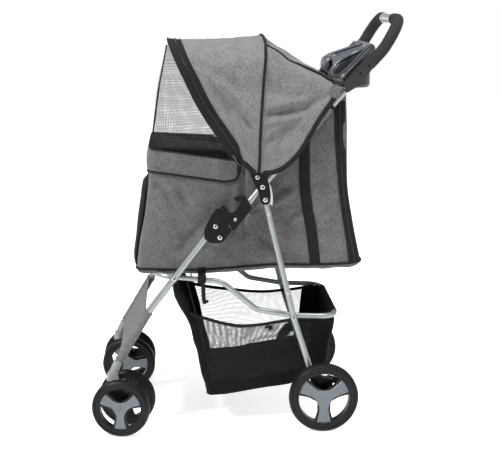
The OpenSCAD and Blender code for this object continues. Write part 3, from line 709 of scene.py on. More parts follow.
def end_xy(row, w, f, b, r):
    """Place and outward direction on the two ends, at y f and b, and the corners of a rounded rectangle."""
    kind, a, s = row
    if kind == "back":
        return a * (w - r), b, 0.0, 1.0
    if kind == "face":
        return a * (w - r), f, 0.0, -1.0
    ang = s * math.pi / 2
    if kind == "rear":
        return a * (w - r + r * math.cos(ang)), b - r + r * math.sin(ang), a * math.cos(ang), math.sin(ang)
    return a * (w - r + r * math.sin(ang)), f + r - r * math.cos(ang), a * math.sin(ang), -math.cos(ang)


cabin_plan = plan(76, 46, 6)


def cabin_xy(row, z, r=15.0):
    """Place and outward direction of a plan row at height z."""
    kind, a, s = row
    f, b = lerp_table(front_of, z), lerp_table(rear_of, z)
    if kind == "side":
        return a * cabin_w, f + r + (b - f - 2 * r) * s, a, 0.0
    return end_xy(row, cabin_w, f, b, r)


def cabin_z(row, lo, hi, v):
    """Height at share v between two lines of (y, z)."""
    z = 560.0
    for _ in range(4):
        y = cabin_xy(row, z)[1]
        z = lerp_table(lo, y) * (1 - v) + lerp_table(hi, y) * v
    return z


def cabin_at(row, z, lift=0.0):
    x, y, nx, ny = cabin_xy(row, z)
    if row[0] == "side":
        d = side_push(y, z, row[1])
    elif row[0] in ("back", "face"):
        d = 2.4 * slow_noise(x * 0.012, z * 0.008, 30 if row[0] == "back" else 50) * min(1, (140 - abs(x)) / 30 + 0.1)
    else:
        d = 0.0
    return Vector((x + nx * (d + lift), y + ny * (d + lift), z))


def cabin_wall(u, v):
    row = cabin_plan[int(round(u * len(cabin_plan))) % len(cabin_plan)]
    return cabin_at(row, cabin_z(row, hem_of, rim_line, v))


n_plan = len(cabin_plan)
# Painted shade: the cabin walls take the darker copy of the hood's melange
wall_obj = shell("cabin_shell", cabin_wall, n_plan, 84, "cloth_painted_shade", "lining", "rail", 2.2, 1600, 300, closed=True)

# Floor cloth that sags a little below the hem
def floor_cloth(u, v):
    row = cabin_plan[int(round(u * n_plan)) % n_plan]
    z0 = cabin_z(row, hem_of, rim_line, 0)
    p = cabin_at(row, z0)
    k = v ** 1.5
    y = p.y + (max(-190, min(190, p.y)) - p.y) * k
    drop = 13 * min(1, v / 0.14) ** 0.6 + 2.2 * slow_noise(p.y * 0.03, p.x * 0.02, 4) * min(1, v / 0.1)
    return Vector((p.x * (1 - k), y, z0 - drop + 3.0 * k))


# Painted shade: the floor cloth takes the darker melange copy
o = shell("cabin_floor_cloth", lambda u, v: floor_cloth(1 - u, v), n_plan, 30, "cloth_painted_shade", "lining", "rail", 1.6,
          1600, 160, closed=True)
floor_obj = o


def front_rows(share):
    """Plan rows from the right side round the front to the left, where share of each side is taken."""
    rows = [r for r in cabin_plan if r[0] in ("fore", "face") or (r[0] == "side" and r[2] <= share)]
    split = next(i for i, r in enumerate(rows) if r[0] == "side" and r[1] < 0)
    return rows[split:] + rows[:split]


def round_loop(z_of, lift):
    """Points and outward directions round the cabin at a height line."""
    pts, ups = [], []
    for r in cabin_plan:
        z = z_of(r)
        pts.append(cabin_at(r, z, lift))
        ups.append(Vector((*cabin_xy(r, z)[2:], 0)))
    return pts, ups


pts, ups = round_loop(lambda r: cabin_z(r, hem_of, rim_line, 0) - 0.5, 1.0)
hem_obj = tube("cabin_hem", pts, 2.7, "piping", "rail", closed=True, n=10, ups=ups)

# Rim flap: a doubled band that hangs outside the wall from the rim, round the front
flap_rows = front_rows(0.455)
flap_low = [(-240, 634), (-143, 620), (-59, 608), (-32, 612), (-20, 640), (-15, 652)]


def flap_surface(u, v):
    row = flap_rows[min(int(round(u * (len(flap_rows) - 1))), len(flap_rows) - 1)]
    z = cabin_z(row, flap_low, rim_line, v)
    x, y = cabin_xy(row, z)[:2]
    ripple = 1.3 * slow_noise(y * 0.035, x * 0.03, 12) * (1 - v)
    return cabin_at(row, z, 2.4 + 2.2 * math.sin(math.pi * min(1, v * 1.02)) ** 0.7 * 0.9 + ripple)


n_flap = len(flap_rows) - 1
# Painted shade: the rim flap takes the darker melange copy
flap_obj = shell("rim_flap", flap_surface, n_flap, 12, "cloth_painted_shade", "lining", "rail", 1.8, 640, 56)


def flap_line(v, lift, name, r, mat):
    pts, ups = [], []
    for i in range(n_flap + 1):
        p = flap_surface(i / n_flap, v)
        out = Vector((*cabin_xy(flap_rows[i], p.z)[2:], 0))
        pts.append(p + out * lift)
        ups.append(out)
    return tube(name, pts, r, mat, "rail", n=8, ups=ups)


flap_edge = flap_line(0.02, 0.4, "flap_piping", 2.6, "piping")
for u_end, nm in ((0, "right"), (1, "left")):
    pts = [flap_surface(u_end, 1 - i / 10) for i in range(11)]
    s = 1 if pts[0].x > 0 else -1
    o = strap("flap_end_" + nm, [p + Vector((s * 0.8, 0, 0)) for p in pts], [Vector((s, 0, 0))] * 11, 9, 1.8,
              "piping", "rail")
    fold_down(o)
flap_top = flap_line(1.0, -0.6, "rim_zip", 2.2, "coil")

# Black band above the rim zip, under the net
band_rows = front_rows(0.385)
band_top = [(-240, 693), (-218, 692), (-142, 688), (-73, 684), (-50, 672)]


def band_surface(u, v):
    row = band_rows[min(int(round(u * (len(band_rows) - 1))), len(band_rows) - 1)]
    return cabin_at(row, cabin_z(row, rim_line, band_top, v), 0.4)


n_band = len(band_rows) - 1
band_obj = shell("rim_band", band_surface, n_band, 8, "black_cloth", "black_cloth", "rail", 1.6, 620, 40)

# ---------- Net window between the rim band and the hood ----------

net_front = [(690, -237), (722, -230.5), (760, -225), (829, -215), (880, -205), (926, -196)]
net_back = [(680, -44), (700, -58), (715, -73), (780, -114), (851, -150), (905, -178), (926, -190)]
net_half_w = 157.0
net_low_z, net_low_back_z = 693, 684                # lower edge at the front, and at the rear of the sides
net_shoulder_z, net_corner_r, net_flat_x = 848, 76, 81  # where the arch begins, its corner, half of its flat top
net_top_z = 924


def net_half(z):
    return net_half_w + max(0.0, 727 - z) * 0.09


def net_arch(t, low):
    """Left-bottom to right-bottom over the arch: t from 0 to 1."""
    k = abs(2 * t - 1)
    sgn = 1 if t < 0.5 else -1
    if k > 0.6:
        s = (k - 0.6) / 0.4
        z = net_shoulder_z + (low - net_shoulder_z) * s
        return sgn * net_half(z), z
    if k > 0.32:
        ang = (0.6 - k) / 0.28 * math.pi / 2
        return sgn * (net_flat_x + net_corner_r * math.cos(ang)), net_shoulder_z + net_corner_r * math.sin(ang)
    return sgn * net_flat_x * k / 0.32, net_top_z + 3 * (1 - k / 0.32)


def net_side(u, v):
    low = net_low_z + (net_low_back_z - net_low_z) * v
    x, z = net_arch(u, low)
    y = lerp_table(net_front, z) * (1 - v) + lerp_table(net_back, z) * v
    sag = 3.0 * math.sin(math.pi * v) * min(1, abs(lerp_table(net_front, z) - lerp_table(net_back, z)) / 80)
    return Vector((x * (1 - sag / net_half_w), y, z))


net_obj = shell("net_sides", net_side, 150, 26, "net", "net", "rail", 0.5, 760, 130)
net_obj.data.materials.clear()
net_obj.data.materials.append(M["net"])
net_obj.data.materials.append(M["net"])
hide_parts("window_mesh")


def net_face(u, v):
    x = 156.5 * (2 * u - 1)
    k = max(0.0, abs(x) - net_flat_x)
    if k > 0:
        top = net_shoulder_z + math.sqrt(max(0.0, net_corner_r * net_corner_r - k * k))
    else:
        top = net_top_z + 3 * (1 - abs(x) / net_flat_x)
    z = net_low_z + (top - net_low_z) * v
    grow = net_half(z) / net_half_w
    puff = 4.0 * math.sin(math.pi * u) * math.sin(math.pi * min(1, v))
    return Vector((-x * grow, lerp_table(net_front, z) - puff, z))


face_obj = shell("net_face", net_face, 70, 44, "net", "net", "rail", 0.5, 314, 200)
pts = [net_side(i / 150, 0.0) for i in range(151)]
ups = [Vector((p.x, 0, max(p.z - net_shoulder_z, 0) * 2)) for p in pts]
net_piping = tube("net_piping", pts, 1.7, "piping", "rail", n=8, ups=ups)
pts = [Vector(p) for p in resample([(160, -236, net_low_z), (152, -238.5, net_low_z), (0, -240, net_low_z),
                                    (-152, -238.5, net_low_z), (-160, -236, net_low_z)], 60)]
net_sill = tube("net_sill", pts, 1.6, "piping", "rail", n=8, ups=[Vector((0, -1, 0))] * 61)
for s, nm in SIDES:
    pts = [Vector((s * 160.4, y, net_low_z - 9 * (y + 236) / 186)) for y in range(-236, -50, 8)]
    o = tube("net_sill_" + nm, pts, 1.6, "piping", "rail", n=8, ups=[Vector((s, 0, 0))] * len(pts))
    fold_down(o)

# ---------- What is sewn onto the cabin ----------

def on_side(yz, s, lift):
    return Vector((s * (side_x(*yz) + lift), yz[0], yz[1]))


def side_strap(name, line, w, t, mat, lift=0.2, per=10):
    out = []
    for s, nm in SIDES:
        yz = smooth_table(line, per)
        pts = [on_side(q, s, lift) for q in yz]
        out.append(strap(name + "_" + nm, pts, [Vector((s, 0, 0))] * len(pts), w, t, mat, "rail"))
    return out


webs = side_strap("support_web", [(131, 735), (133, 680), (134.5, 605), (141, 545), (151, 486), (161.5, 404)], 26,
                  1.6, "web")
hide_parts("support_straps")
rear_piping = side_strap("rear_flap_piping", [(146, 722), (170, 742), (200, 776)], 3.4, 2.6, "piping")
seams = side_strap("side_seam", [(-10, 632), (-12, 527), (-18, 400)], 1.2, 0.5, "lining", 0.0)
zip_front = smooth_table([(404, 244), (462, 236), (532, 224.5), (600, 215), (707, 206.5), (775, 204), (800, 202)])
zip_rear = smooth_table([(404, 276), (415, 272), (482, 256), (542, 245.5), (619, 236), (753, 231), (800, 229)])
for s, nm in SIDES:

    def rear_tape(u, v, s=s):
        z = 406 + 394 * u
        y = lerp_table(zip_front, z) * (1 - v) + lerp_table(zip_rear, z) * v
        ridge = (math.exp(-((v - 0.5) / 0.07) ** 2) * 1.2 + 0.5 * math.exp(-((v - 0.14) / 0.04) ** 2)
                 + 0.5 * math.exp(-((v - 0.82) / 0.04) ** 2))
        return Vector((s * (side_x(y, z) + 1.3 + ridge), y, z))
    face = rear_tape if s > 0 else (lambda u, v: rear_tape(1 - u, v))
    o = shell("rear_zip_tape_" + nm, face, 110, 24, "tape", "tape", "rail", 1.0, 400, 30)
    fold_down(o)
    pts = [rear_tape(i / 90, 0.5) + Vector((s * 0.3, 0, 0)) for i in range(91)]
    o = tube("rear_zip_coil_" + nm, pts, 1.6, "coil", "rail", n=8, ups=[Vector((s, 0, 0))] * 91)
    fold_down(o)
for o in [wall_obj, floor_obj, hem_obj, flap_obj, flap_edge, flap_top, band_obj, net_obj, face_obj, net_piping,
          net_sill, *webs,
          *rear_piping, *seams]:
    fold_down(o)
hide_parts("cabin_body")

# ---------- Basket: black ends and bottom, net sides, bound rim that sags ----------

basket_w = 146.0
basket_fore = [(76, -103), (123, -117), (187, -129), (239, -143), (277, -160), (315, -180), (353, -188), (366, -190)]
basket_aft = [(100, 165), (120, 178), (151, 192), (238, 211), (279, 214), (284, 214)]
basket_low = [(-110, 80), (-100, 72), (-60, 74), (27, 88), (102, 98), (150, 113), (172, 128), (192, 150)]
band_line = [(-135, 106), (-107, 106), (-23, 110), (27, 119), (101, 131), (160, 142), (200, 156)]
net_fore = [(95, -86), (120, -92), (140, -97), (187, -109), (238, -119), (289, -133), (365, -152)]
net_aft = [(120, 134), (160, 144), (195, 151), (221, 154), (265, 158)]
fore_k, aft_k = 7 / 60, 53 / 60
near_rim = [(-190, 362), (-152, 365), (-146, 284), (-133, 277), (-92, 263), (-55, 253), (-20, 248), (27, 250),
            (97, 260), (121, 264), (158, 266),
            (185, 278), (214, 282)]
far_rim = [(-190, 362), (-152, 365), (-146, 292), (-133, 287), (-99, 280), (-35, 271), (46, 263), (127, 268),
           (190, 277), (214, 282)]


basket_rows = plan(60, 36, 5)
n_basket = len(basket_rows)


def basket_xy(row, z, r=12.0):
    kind, a, s = row
    f, b = lerp_table(basket_fore, z), lerp_table(basket_aft, z)
    if kind == "side":
        stops = (f + r, lerp_table(net_fore, z), lerp_table(net_aft, z), b - r)
        if s < fore_k:
            return a * basket_w, stops[0] + (stops[1] - stops[0]) * s / fore_k, a, 0.0
        if s < aft_k:
            return a * basket_w, stops[1] + (stops[2] - stops[1]) * (s - fore_k) / (aft_k - fore_k), a, 0.0
        return a * basket_w, stops[2] + (stops[3] - stops[2]) * (s - aft_k) / (1 - aft_k), a, 0.0
    return end_xy(row, basket_w, f, b, r)


def along_side(y, z, r=12.0):
    """Which share of the side row lies at y, the reverse of basket_xy."""
    stops = (lerp_table(basket_fore, z) + r, lerp_table(net_fore, z), lerp_table(net_aft, z),
             lerp_table(basket_aft, z) - r)
    if y < stops[1]:
        return max(0.0, (y - stops[0]) / (stops[1] - stops[0]) * fore_k)
    if y < stops[2]:
        return fore_k + (y - stops[1]) / (stops[2] - stops[1]) * (aft_k - fore_k)
    return min(1.0, aft_k + (y - stops[2]) / (stops[3] - stops[2]) * (1 - aft_k))


def basket_z(row, lo, hi, v):
    z = 200.0
    for _ in range(5):
        y = basket_xy(row, z)[1]
        z = lerp_table(lo, y) * (1 - v) + lerp_table(hi, y) * v
    return z


def rim_of(row):
    """The bound rim: high at the two ends, sagging along the sides."""
    if row[0] in ("face", "fore"):
        return [(-200, 362), (0, 362)]
    if row[0] in ("back", "rear"):
        return [(0, 281), (220, 281)]
    return near_rim if row[1] > 0 else far_rim


def basket_at(row, z, lift=0.0):
    x, y, nx, ny = basket_xy(row, z)
    low = lerp_table(band_line, y)
    d = 4.0 * slow_noise(y * 0.02, z * 0.024, 70 + nx) + 3.0 * slow_noise(x * 0.02, z * 0.02, 90 + ny)
    d += 3.0 * fold_height(y, z, [(-95, 150, 20, 120, 9, 1.0), (-20, 175, 90, 165, 10, -1.0),
                                  (0, 120, 120, 140, 9, 1.0)]) * abs(nx)
    if row[0] == "side":
        mid = min(max((z - low) / 70.0, 0), 1)
        d -= 3.5 * math.sin(math.pi * mid) * math.sin(math.pi * row[2])
    else:
        d += 2.5 * math.sin(math.pi * min(1, max(0, (z - 80) / 280))) * (1 - (x / 150) ** 2)
    return Vector((x + nx * (d + lift), y + ny * (d + lift), z))


def basket_wall(u, v):
    row = basket_rows[int(round(u * n_basket)) % n_basket]
    if v <= 0.5:
        z = basket_z(row, basket_low, band_line, v * 2)
    elif row[0] == "side":
        z = basket_z(row, band_line, rim_of(row), v * 2 - 1)
    else:
        z0 = basket_z(row, basket_low, band_line, 1.0)
        z = z0 + (rim_of(row)[0][1] - z0) * (v * 2 - 1)
    return basket_at(row, z)


basket_obj = shell("basket_shell", basket_wall, n_basket, 44, "black_cloth", "black_cloth", "rail", 1.3, 1180, 260,
                   closed=True)
basket_obj.data.materials.append(M["basket_net"])
for p in basket_obj.data.polygons:
    c = p.center / MM
    between = abs(abs(c.x) - basket_w) < 9 and lerp_table(net_fore, c.z) < c.y < lerp_table(net_aft, c.z)
    if between and c.z > lerp_table(band_line, c.y) + 1:
        p.material_index = 2
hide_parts("basket")


def basket_floor(u, v):
    row = basket_rows[int(round(u * n_basket)) % n_basket]
    z0 = basket_z(row, basket_low, band_line, 0)
    p = basket_at(row, z0)
    k = v ** 1.2
    return Vector((p.x * (1 - k), p.y + (max(-70, min(140, p.y)) - p.y) * k,
                   z0 - 4 * math.sin(math.pi * min(1, v * 1.4) * 0.5) * 1.0))


bfloor = shell("basket_floor", basket_floor, n_basket, 18, "black_cloth", "black_cloth", "rail", 1.6, 900, 150,
               closed=True)

basket_bits = []
for s, nm in SIDES:
    line = near_rim[2:] if s > 0 else far_rim[2:]
    yz = smooth_table(line[:-1], 8)
    pts = []
    for y, z in yz:
        pts.append(basket_at(("side", s, along_side(y, z)), z, 0.2))
    basket_bits.append(strap("basket_rim_" + nm, pts, [Vector((s, 0, 0))] * len(pts), 8.5, 2.6, "piping", "rail"))
    seam = []
    for k in range(41):
        seam.append(basket_at(("side", s, fore_k), 108 + (360 - 108) * k / 40, 0.3))
    basket_bits.append(strap("basket_seam_" + nm, seam, [Vector((s, 0, 0))] * 41, 4.0, 1.4, "piping", "rail"))

# Hem that wraps the rear crossbar
rail_rear_y, rail_rear_z = 212.0, 275.5


def hem_at(u, v):
    a = math.radians(-75 + 330 * v)
    x = -128 + 256 * u
    r = 8.6 + 0.5 * slow_noise(x * 0.05, v * 4, 3)
    return Vector((x, rail_rear_y + r * math.cos(a), rail_rear_z + r * math.sin(a)))


basket_bits.append(shell("basket_hem", lambda u, v: hem_at(u, 1 - v), 60, 26, "black_cloth", "black_cloth", "rail",
                         1.2, 256, 50))
for o in [basket_obj, bfloor, *basket_bits]:
    fold_down(o)

# ---------- Bulging front panel, floor cushion ----------

def swollen(name, verts, faces, mat, body, cap, voxel, pressure):
    """Padded piece: remeshed, blown up a little as cloth, capped, then smoothed once."""
    o = add_mesh(name, verts, faces, mat, None)
    bpy.context.view_layer.objects.active = o
    r = o.modifiers.new("remesh", "REMESH")
    r.mode = "VOXEL"
    r.voxel_size = voxel * MM
    dg = bpy.context.evaluated_depsgraph_get()
    me = bpy.data.meshes.new_from_object(o.evaluated_get(dg))
    o.modifiers.clear()
    o.data = me
    rest = [v.co.copy() for v in me.vertices]
    c = o.modifiers.new("cloth", "CLOTH")
    c.settings.use_pressure = True
    c.settings.uniform_pressure_force = pressure
    c.settings.effector_weights.gravity = 0
    c.settings.quality = 5
    scene = bpy.context.scene
    for frame_no in range(1, 21):
        scene.frame_set(frame_no)
    dg = bpy.context.evaluated_depsgraph_get()
    moved = [v.co.copy() for v in o.evaluated_get(dg).data.vertices]
    o.modifiers.clear()
    scene.frame_set(1)
    for v, a, b in zip(me.vertices, rest, moved):
        d = b - a
        if d.length > cap * MM:
            d = d.normalized() * cap * MM
        v.co = a + d
    me.polygons.foreach_set("use_smooth", [True] * len(me.polygons))
    me.materials.clear()
    me.materials.append(M[mat])
    s = o.modifiers.new("smooth", "SUBSURF")
    s.levels = 1
    s.render_levels = 1
    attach(o, body)
    return o


def pad_faces(nx, ny):
    """Faces of a closed pad: two grids of (nx + 1) by (ny + 1) points, one over the other."""
    w, top = nx + 1, (nx + 1) * (ny + 1)
    faces = []
    for j in range(ny):
        for i in range(nx):
            a = j * w + i
            faces.append((a, a + w, a + w + 1, a + 1))
            faces.append((top + a, top + a + 1, top + a + w + 1, top + a + w))
    for i in range(nx):
        faces.append((i, i + 1, top + i + 1, top + i))
        b = ny * w + i
        faces.append((b, top + b, top + b + 1, b + 1))
    for j in range(ny):
        a = j * w
        faces.append((a, top + a, top + a + w, a + w))
        b = j * w + nx
        faces.append((b, b + w, top + b + w, top + b))
    return faces


def pillow(x0, x1, y0, y1, z0, z1, nx, ny, crown, tuck):
    """Closed flat-bottomed pad: sides pull in between the corners, top crowned, with sewn dimples."""
    verts = []
    for j in range(ny + 1):
        for i in range(nx + 1):
            u, v = i / nx, j / ny
            x = x0 + (x1 - x0) * u
            y = y0 + (y1 - y0) * v
            px = tuck * math.sin(math.pi * v) * (1 - 2 * u)
            py = tuck * math.sin(math.pi * u) * (1 - 2 * v)
            verts.append((x + px, y + py, z0))
    for j in range(ny + 1):
        for i in range(nx + 1):
            u, v = i / nx, j / ny
            bx, by, _ = verts[j * (nx + 1) + i]
            edge = min(1, 6 * min(u, 1 - u)) * min(1, 8 * min(v, 1 - v))
            dip = 0.0
            for cu in (0.2, 0.5, 0.8):
                for cv in (0.18, 0.5, 0.82):
                    d = math.hypot((u - cu) * (x1 - x0), (v - cv) * (y1 - y0))
                    dip += 7 * math.exp(-(d / 16) ** 2)
            verts.append((bx, by, z0 + (z1 - z0) * (0.62 + 0.38 * edge ** 0.6) + crown * edge - dip * edge))
    return verts, pad_faces(nx, ny)


lo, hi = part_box("cushion")
verts, faces = pillow(lo[0] * 1000 + 4, hi[0] * 1000 - 4, lo[1] * 1000 + 4, hi[1] * 1000 - 4, lo[2] * 1000 + 0.5,
                      hi[2] * 1000 - 6, 44, 72, 3, 6)
pad = swollen("floor_pad", verts, faces, "cloth_light", "rail", 5, 5, 3.0)
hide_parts("cushion")
pts = []
for k in range(120):
    a = k / 120
    u = (min(1, a * 4) if a < 0.25 else 1 if a < 0.5 else 1 - (a - 0.5) * 4 if a < 0.75 else 0)
    v = (0 if a < 0.25 else (a - 0.25) * 4 if a < 0.5 else 1 if a < 0.75 else 1 - (a - 0.75) * 4)
    x0, x1, y0, y1 = lo[0] * 1000 + 2.5, hi[0] * 1000 - 2.5, lo[1] * 1000 + 2.5, hi[1] * 1000 - 2.5
    x = x0 + (x1 - x0) * u + 5 * math.sin(math.pi * v) * (1 - 2 * u)
    y = y0 + (y1 - y0) * v + 5 * math.sin(math.pi * u) * (1 - 2 * v)
    pts.append(Vector((x, y, lo[2] * 1000 + 12)))
pad_edge = tube("floor_pad_piping", pts, 1.8, "piping", "rail", closed=True, n=8, ups=[Vector((0, 0, 1))] * 120)
panel_fore = [(396, -279), (404, -282.5), (424, -282.5), (465, -276.5), (510, -271.5), (560, -264), (583, -261),
              (593, -252), (597, -244)]
panel_aft = [(396, -274.6), (460, -267), (519, -255), (572, -247.5), (597, -243.2)]
nz, nx = 44, 40
verts = []
for side in (0, 1):
    for j in range(nz + 1):
        z = 397 + 199 * j / nz
        for i in range(nx + 1):
            x = -118 + 236 * i / nx
            k = min(1, 5 * min(i, nx - i) / nx + 0.05) ** 0.5
            back_y = lerp_table(panel_aft, z)
            fore_y = lerp_table(panel_fore, z)
            seam = 1.8 * math.exp(-(((z - 560) / 5) ** 2)) * (1 if abs(x) < 108 else 0)
            verts.append((x, back_y if side == 0 else back_y + (fore_y + seam - back_y) * k, z))
panel = add_mesh("front_pad", verts, pad_faces(nx, nz), "black_cloth", "rail")
sub = panel.modifiers.new("smooth", "SUBSURF")
sub.levels = sub.render_levels = 1
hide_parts("front_panel")
for s, nm in SIDES:
    pts = [Vector((s * 116.5, (lerp_table(panel_aft, z) + lerp_table(front_of, z)) / 2, z)) for z in range(402, 598,
                                                                                                           8)]
    gusset = strap("panel_gusset_" + nm, pts, [Vector((s, 0, 0))] * len(pts), 11, 1.6, "black_cloth", "rail")
    fold_down(gusset)
pts = [Vector((x, (lerp_table(panel_aft, 594) + lerp_table(front_of, 594)) / 2, 594)) for x in range(-117, 118, 9)]
gusset = strap("panel_gusset_top", pts, [Vector((0, 0, 1))] * len(pts), 11, 1.6, "black_cloth", "rail")
fold_down(gusset)
for o in (pad, pad_edge):
    fold_down(o)
fold_down(panel)

# ---------- Wheels: coloured three-armed inserts and tyre beads ----------

def insert_outline(waist, end, r_end, turn):
    """Three arms that widen outward, with rounded crotches: (angle direction across, up) points."""
    pts = []
    for k in range(3):
        a = math.radians(-90 + 120 * k + turn)
        c, s = math.cos(a), math.sin(a)
        arm = [(0.24 * r_end, waist * 1.25), (0.34 * r_end, waist * 1.02), (0.5 * r_end, waist),
               (0.75 * r_end, (waist + end) / 2),
               (0.975 * r_end, end)]
        side = smooth_table(arm, 4)
        cap = [(math.sqrt(r_end ** 2 - w * w), w) for w in (end * 0.94, end * 0.6, end * 0.2, -end * 0.2, -end * 0.6,
                                                            -end * 0.94)]
        for r, w in [(r, -w) for r, w in side] + cap[::-1] + side[::-1]:
            pts.append((r * c - w * s, r * s + w * c))
    return pts


def plate_from(name, outline, place, z0, z1, bevel, mat, body):
    """Raised plate with a bevelled edge; place(a, b, h) puts a point of the outline at height h."""
    n = len(outline)
    inner = []
    for i in range(n):
        (ax, ay), (bx, by) = outline[i - 1], outline[(i + 1) % n]
        tx, ty = bx - ax, by - ay
        k = math.hypot(tx, ty) or 1
        inner.append((outline[i][0] - ty / k * bevel, outline[i][1] + tx / k * bevel))
    verts = [place(a, b, z0) for a, b in outline] + [place(a, b, z1 - bevel) for a,
                                                     b in outline] + [place(a, b, z1) for a, b in inner]
    faces = [tuple(range(2 * n, 3 * n)), tuple(range(n))[::-1]]
    for r in (0, 1):
        for i in range(n):
            j = (i + 1) % n
            faces.append((r * n + i, r * n + j, (r + 1) * n + j, (r + 1) * n + i))
    return add_mesh(name, verts, faces, mat, body, smooth=False)


def wheel_trim(tag, body, centre, out, across, waist, end, r_end, face, turn, bead_r, bead_face):
    """Insert, tyre beads and hub ring on a wheel's outer face; face and bead_face are distances from its middle."""
    c, n, a = Vector(centre), Vector(out), Vector(across)
    up = Vector((0, 0, 1))
    outline = insert_outline(waist, end, r_end, turn)
    if a.cross(up).dot(n) < 0:
        outline = outline[::-1]
    plate_from("insert_" + tag, outline, lambda p, q, h: c + a * p + up * q + n * h, face, face + 3.0, 0.9, "insert",
               body)
    for k, (r, h, w) in enumerate(((bead_r, bead_face, 1.3), (bead_r - 9.5, bead_face - 0.5, 0.9))):
        pts = [c + a * r * math.cos(t) + up * r * math.sin(t) + n * h for t in circle(96)]
        tube("bead_%s_%d" % (tag, k), pts, w, "tyre", body, closed=True, n=8, ups=[n] * 96)
    pts = [c + a * 3.6 * math.cos(t) + up * 3.6 * math.sin(t) + n * (face + 3.0) for t in circle(24)]
    tube("hub_ring_" + tag, pts, 0.7, "insert", body, closed=True, n=6, ups=[n] * 24)


REAR_WHEEL = (221, 178, 85)                 # centre of the left one
CASTER, CASTER_TURN = (186, -335), -8.6     # left caster's stem (x, y), and its turn in degrees; the right has none
FRONT_OFFSET, FRONT_TRAIL, FRONT_Z = 42, 27, 70.5   # front wheel's centre: beside its stem, behind it, height
for s, side in SIDES:
    wheel_trim("rear_" + side, "rear_wheel_" + side, (s * REAR_WHEEL[0], *REAR_WHEEL[1:]), (s, 0, 0), (0, 1, 0),
               11.5, 17, 62, 10.05, 0 if s > 0 else 40, 77, 13.6)
    turn = math.radians(CASTER_TURN if s > 0 else 0)
    ct, st = math.cos(turn), math.sin(turn)
    for which, wn in ((1, "outer"), (-1, "inner")):
        lx, ly = which * FRONT_OFFSET, FRONT_TRAIL
        c = (s * (CASTER[0] + ct * lx - st * ly), CASTER[1] + st * lx + ct * ly, FRONT_Z)
        wheel_trim("front_%s_%s" % (side, wn), "front_wheel_%s_%s" % (side, wn), c, (s * which * ct, which * st, 0),
                   (-s * st, ct, 0), 9.4, 14.5, 50.5, 8.05, 0 if s > 0 else 90, 63.5, 11.6)

# ---------- Foam grips ----------

def rounded(pts, radii, step=5.0):
    """Path through corners, each turned with its radius."""
    p = [Vector(q) for q in pts]
    out = [p[0]]
    for i in range(1, len(p) - 1):
        r = radii[i]
        u, v = (p[i] - p[i - 1]).normalized(), (p[i + 1] - p[i]).normalized()
        ang = u.angle(v)
        d = r * math.tan(ang / 2)
        n = (v - u * v.dot(u)).normalized()
        o = p[i] - u * d + n * r
        k = max(2, int(r * ang / step))
        for j in range(k + 1):
            t = ang * j / k
            out.append(o - n * r * math.cos(t) + u * r * math.sin(t))
    out.append(p[-1])
    fine = []
    for a, b in zip(out, out[1:]):
        m = max(1, int((b - a).length / step))
        fine += [a.lerp(b, j / m) for j in range(m)]
    return fine + [out[-1]]


def grip_swell(t):
    """Thickness of a foam grip along its length: rounded ends, and a slightly uneven body."""
    return (1.0 - 0.16 * max(0.0, 1 - t / 0.012) - 0.16 * max(0.0, 1 - (1 - t) / 0.012) + 0.006 * math.sin(t * 37)
            + 0.004 * math.sin(t * 91))


grip_x, grip_foot, grip_knee, grip_top, grip_in = 168, (281, 884.4), (318, 924), (358, 992), 68
for s, nm in SIDES:
    path = rounded([(s * grip_x, *grip_foot), (s * grip_x, *grip_knee), (s * grip_x, *grip_top),
                    (s * grip_in, *grip_top)],
                   [0, 140, 55, 0])
    o = tube("foam_" + nm, path, 14.0, "foam", "handle", n=28, scale=grip_swell)
    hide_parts("grip_" + nm)

# ---------- Footrest: panel laced between two leg sleeves ----------

leg_line = rounded([(189.5, -73.7, 520.3), (189.5, -243.6, 300.4), (186, -321, 172), (186, -329, 152)],
                   [0, 150, 40, 0], 4)
top_i = min(range(len(leg_line)), key=lambda i: abs(leg_line[i].z - 296))
low_i = min(range(len(leg_line)), key=lambda i: abs(leg_line[i].z - 178))
sleeve_path = leg_line[top_i:low_i + 1]
m_sl = len(sleeve_path) - 1


def foot_panel(u, v):
    k = v * m_sl
    i = min(int(k), m_sl - 1)
    p = sleeve_path[i].lerp(sleeve_path[i + 1], k - i)
    edge = 1 - (1 - 2 * u) ** 2
    along = (sleeve_path[-1] - sleeve_path[0]).normalized()
    pull = edge * (15 * (1 - v) ** 2 - 2 * v ** 2)
    out = Vector((0, -0.85, 0.53))
    puff = 1.4 * slow_noise(u * 5, v * 3, 8) * edge + 7.0 * edge
    return Vector(((1 - 2 * u) * (p.x - 2), p.y, p.z)) + along * pull - out * puff * 0.5 + out * 6


foot = shell("footrest_panel", foot_panel, 60, 30, "cloth_light", "cloth_light", "front_legs", 1.6, 372, 138)
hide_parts("footrest")
for s, nm in SIDES:
    pts = [Vector((s * p.x, p.y, p.z)) for p in sleeve_path]
    o = tube("foot_sleeve_" + nm, pts, 10.6, "sleeve", "front_legs", n=20,
             scale=lambda t: 1.0 + 0.03 * math.sin(t * 40) + 0.05 * slow_noise(t * 9, 1, 2))
    for k, q in enumerate((pts[0], pts[-1])):
        d = (pts[1] - pts[0]).normalized() if k == 0 else (pts[-1] - pts[-2]).normalized()
        a = d.cross(Vector((1, 0, 0))).normalized()
        b = d.cross(a)
        ring = [q + (a * math.cos(t) + b * math.sin(t)) * 10.5 for t in circle(28)]
        tube("foot_cuff_%s_%d" % (nm, k), ring, 1.3, "sleeve", "front_legs", closed=True, n=6, ups=[d] * 28)
for s in (1, -1):
    pts = [foot_panel(0.06 if s > 0 else 0.94, 0.02 + 0.3 * i / 8) + Vector((0, 3.2, -2)) for i in range(9)]
    strap("foot_tab_" + ("left" if s > 0 else "right"), pts, [Vector((0, 0.85, -0.53))] * 9, 20, 1.8, "web",
          "front_legs")

# ---------- Tray: two sloping cup wells, a pocket with a rolled front lip ----------

CUP_X, CUP_Y, CUP_FLOOR_Z = 98, 259, 833.5
POCKET_Y, POCKET_FLOOR_Z = 254, 858.5


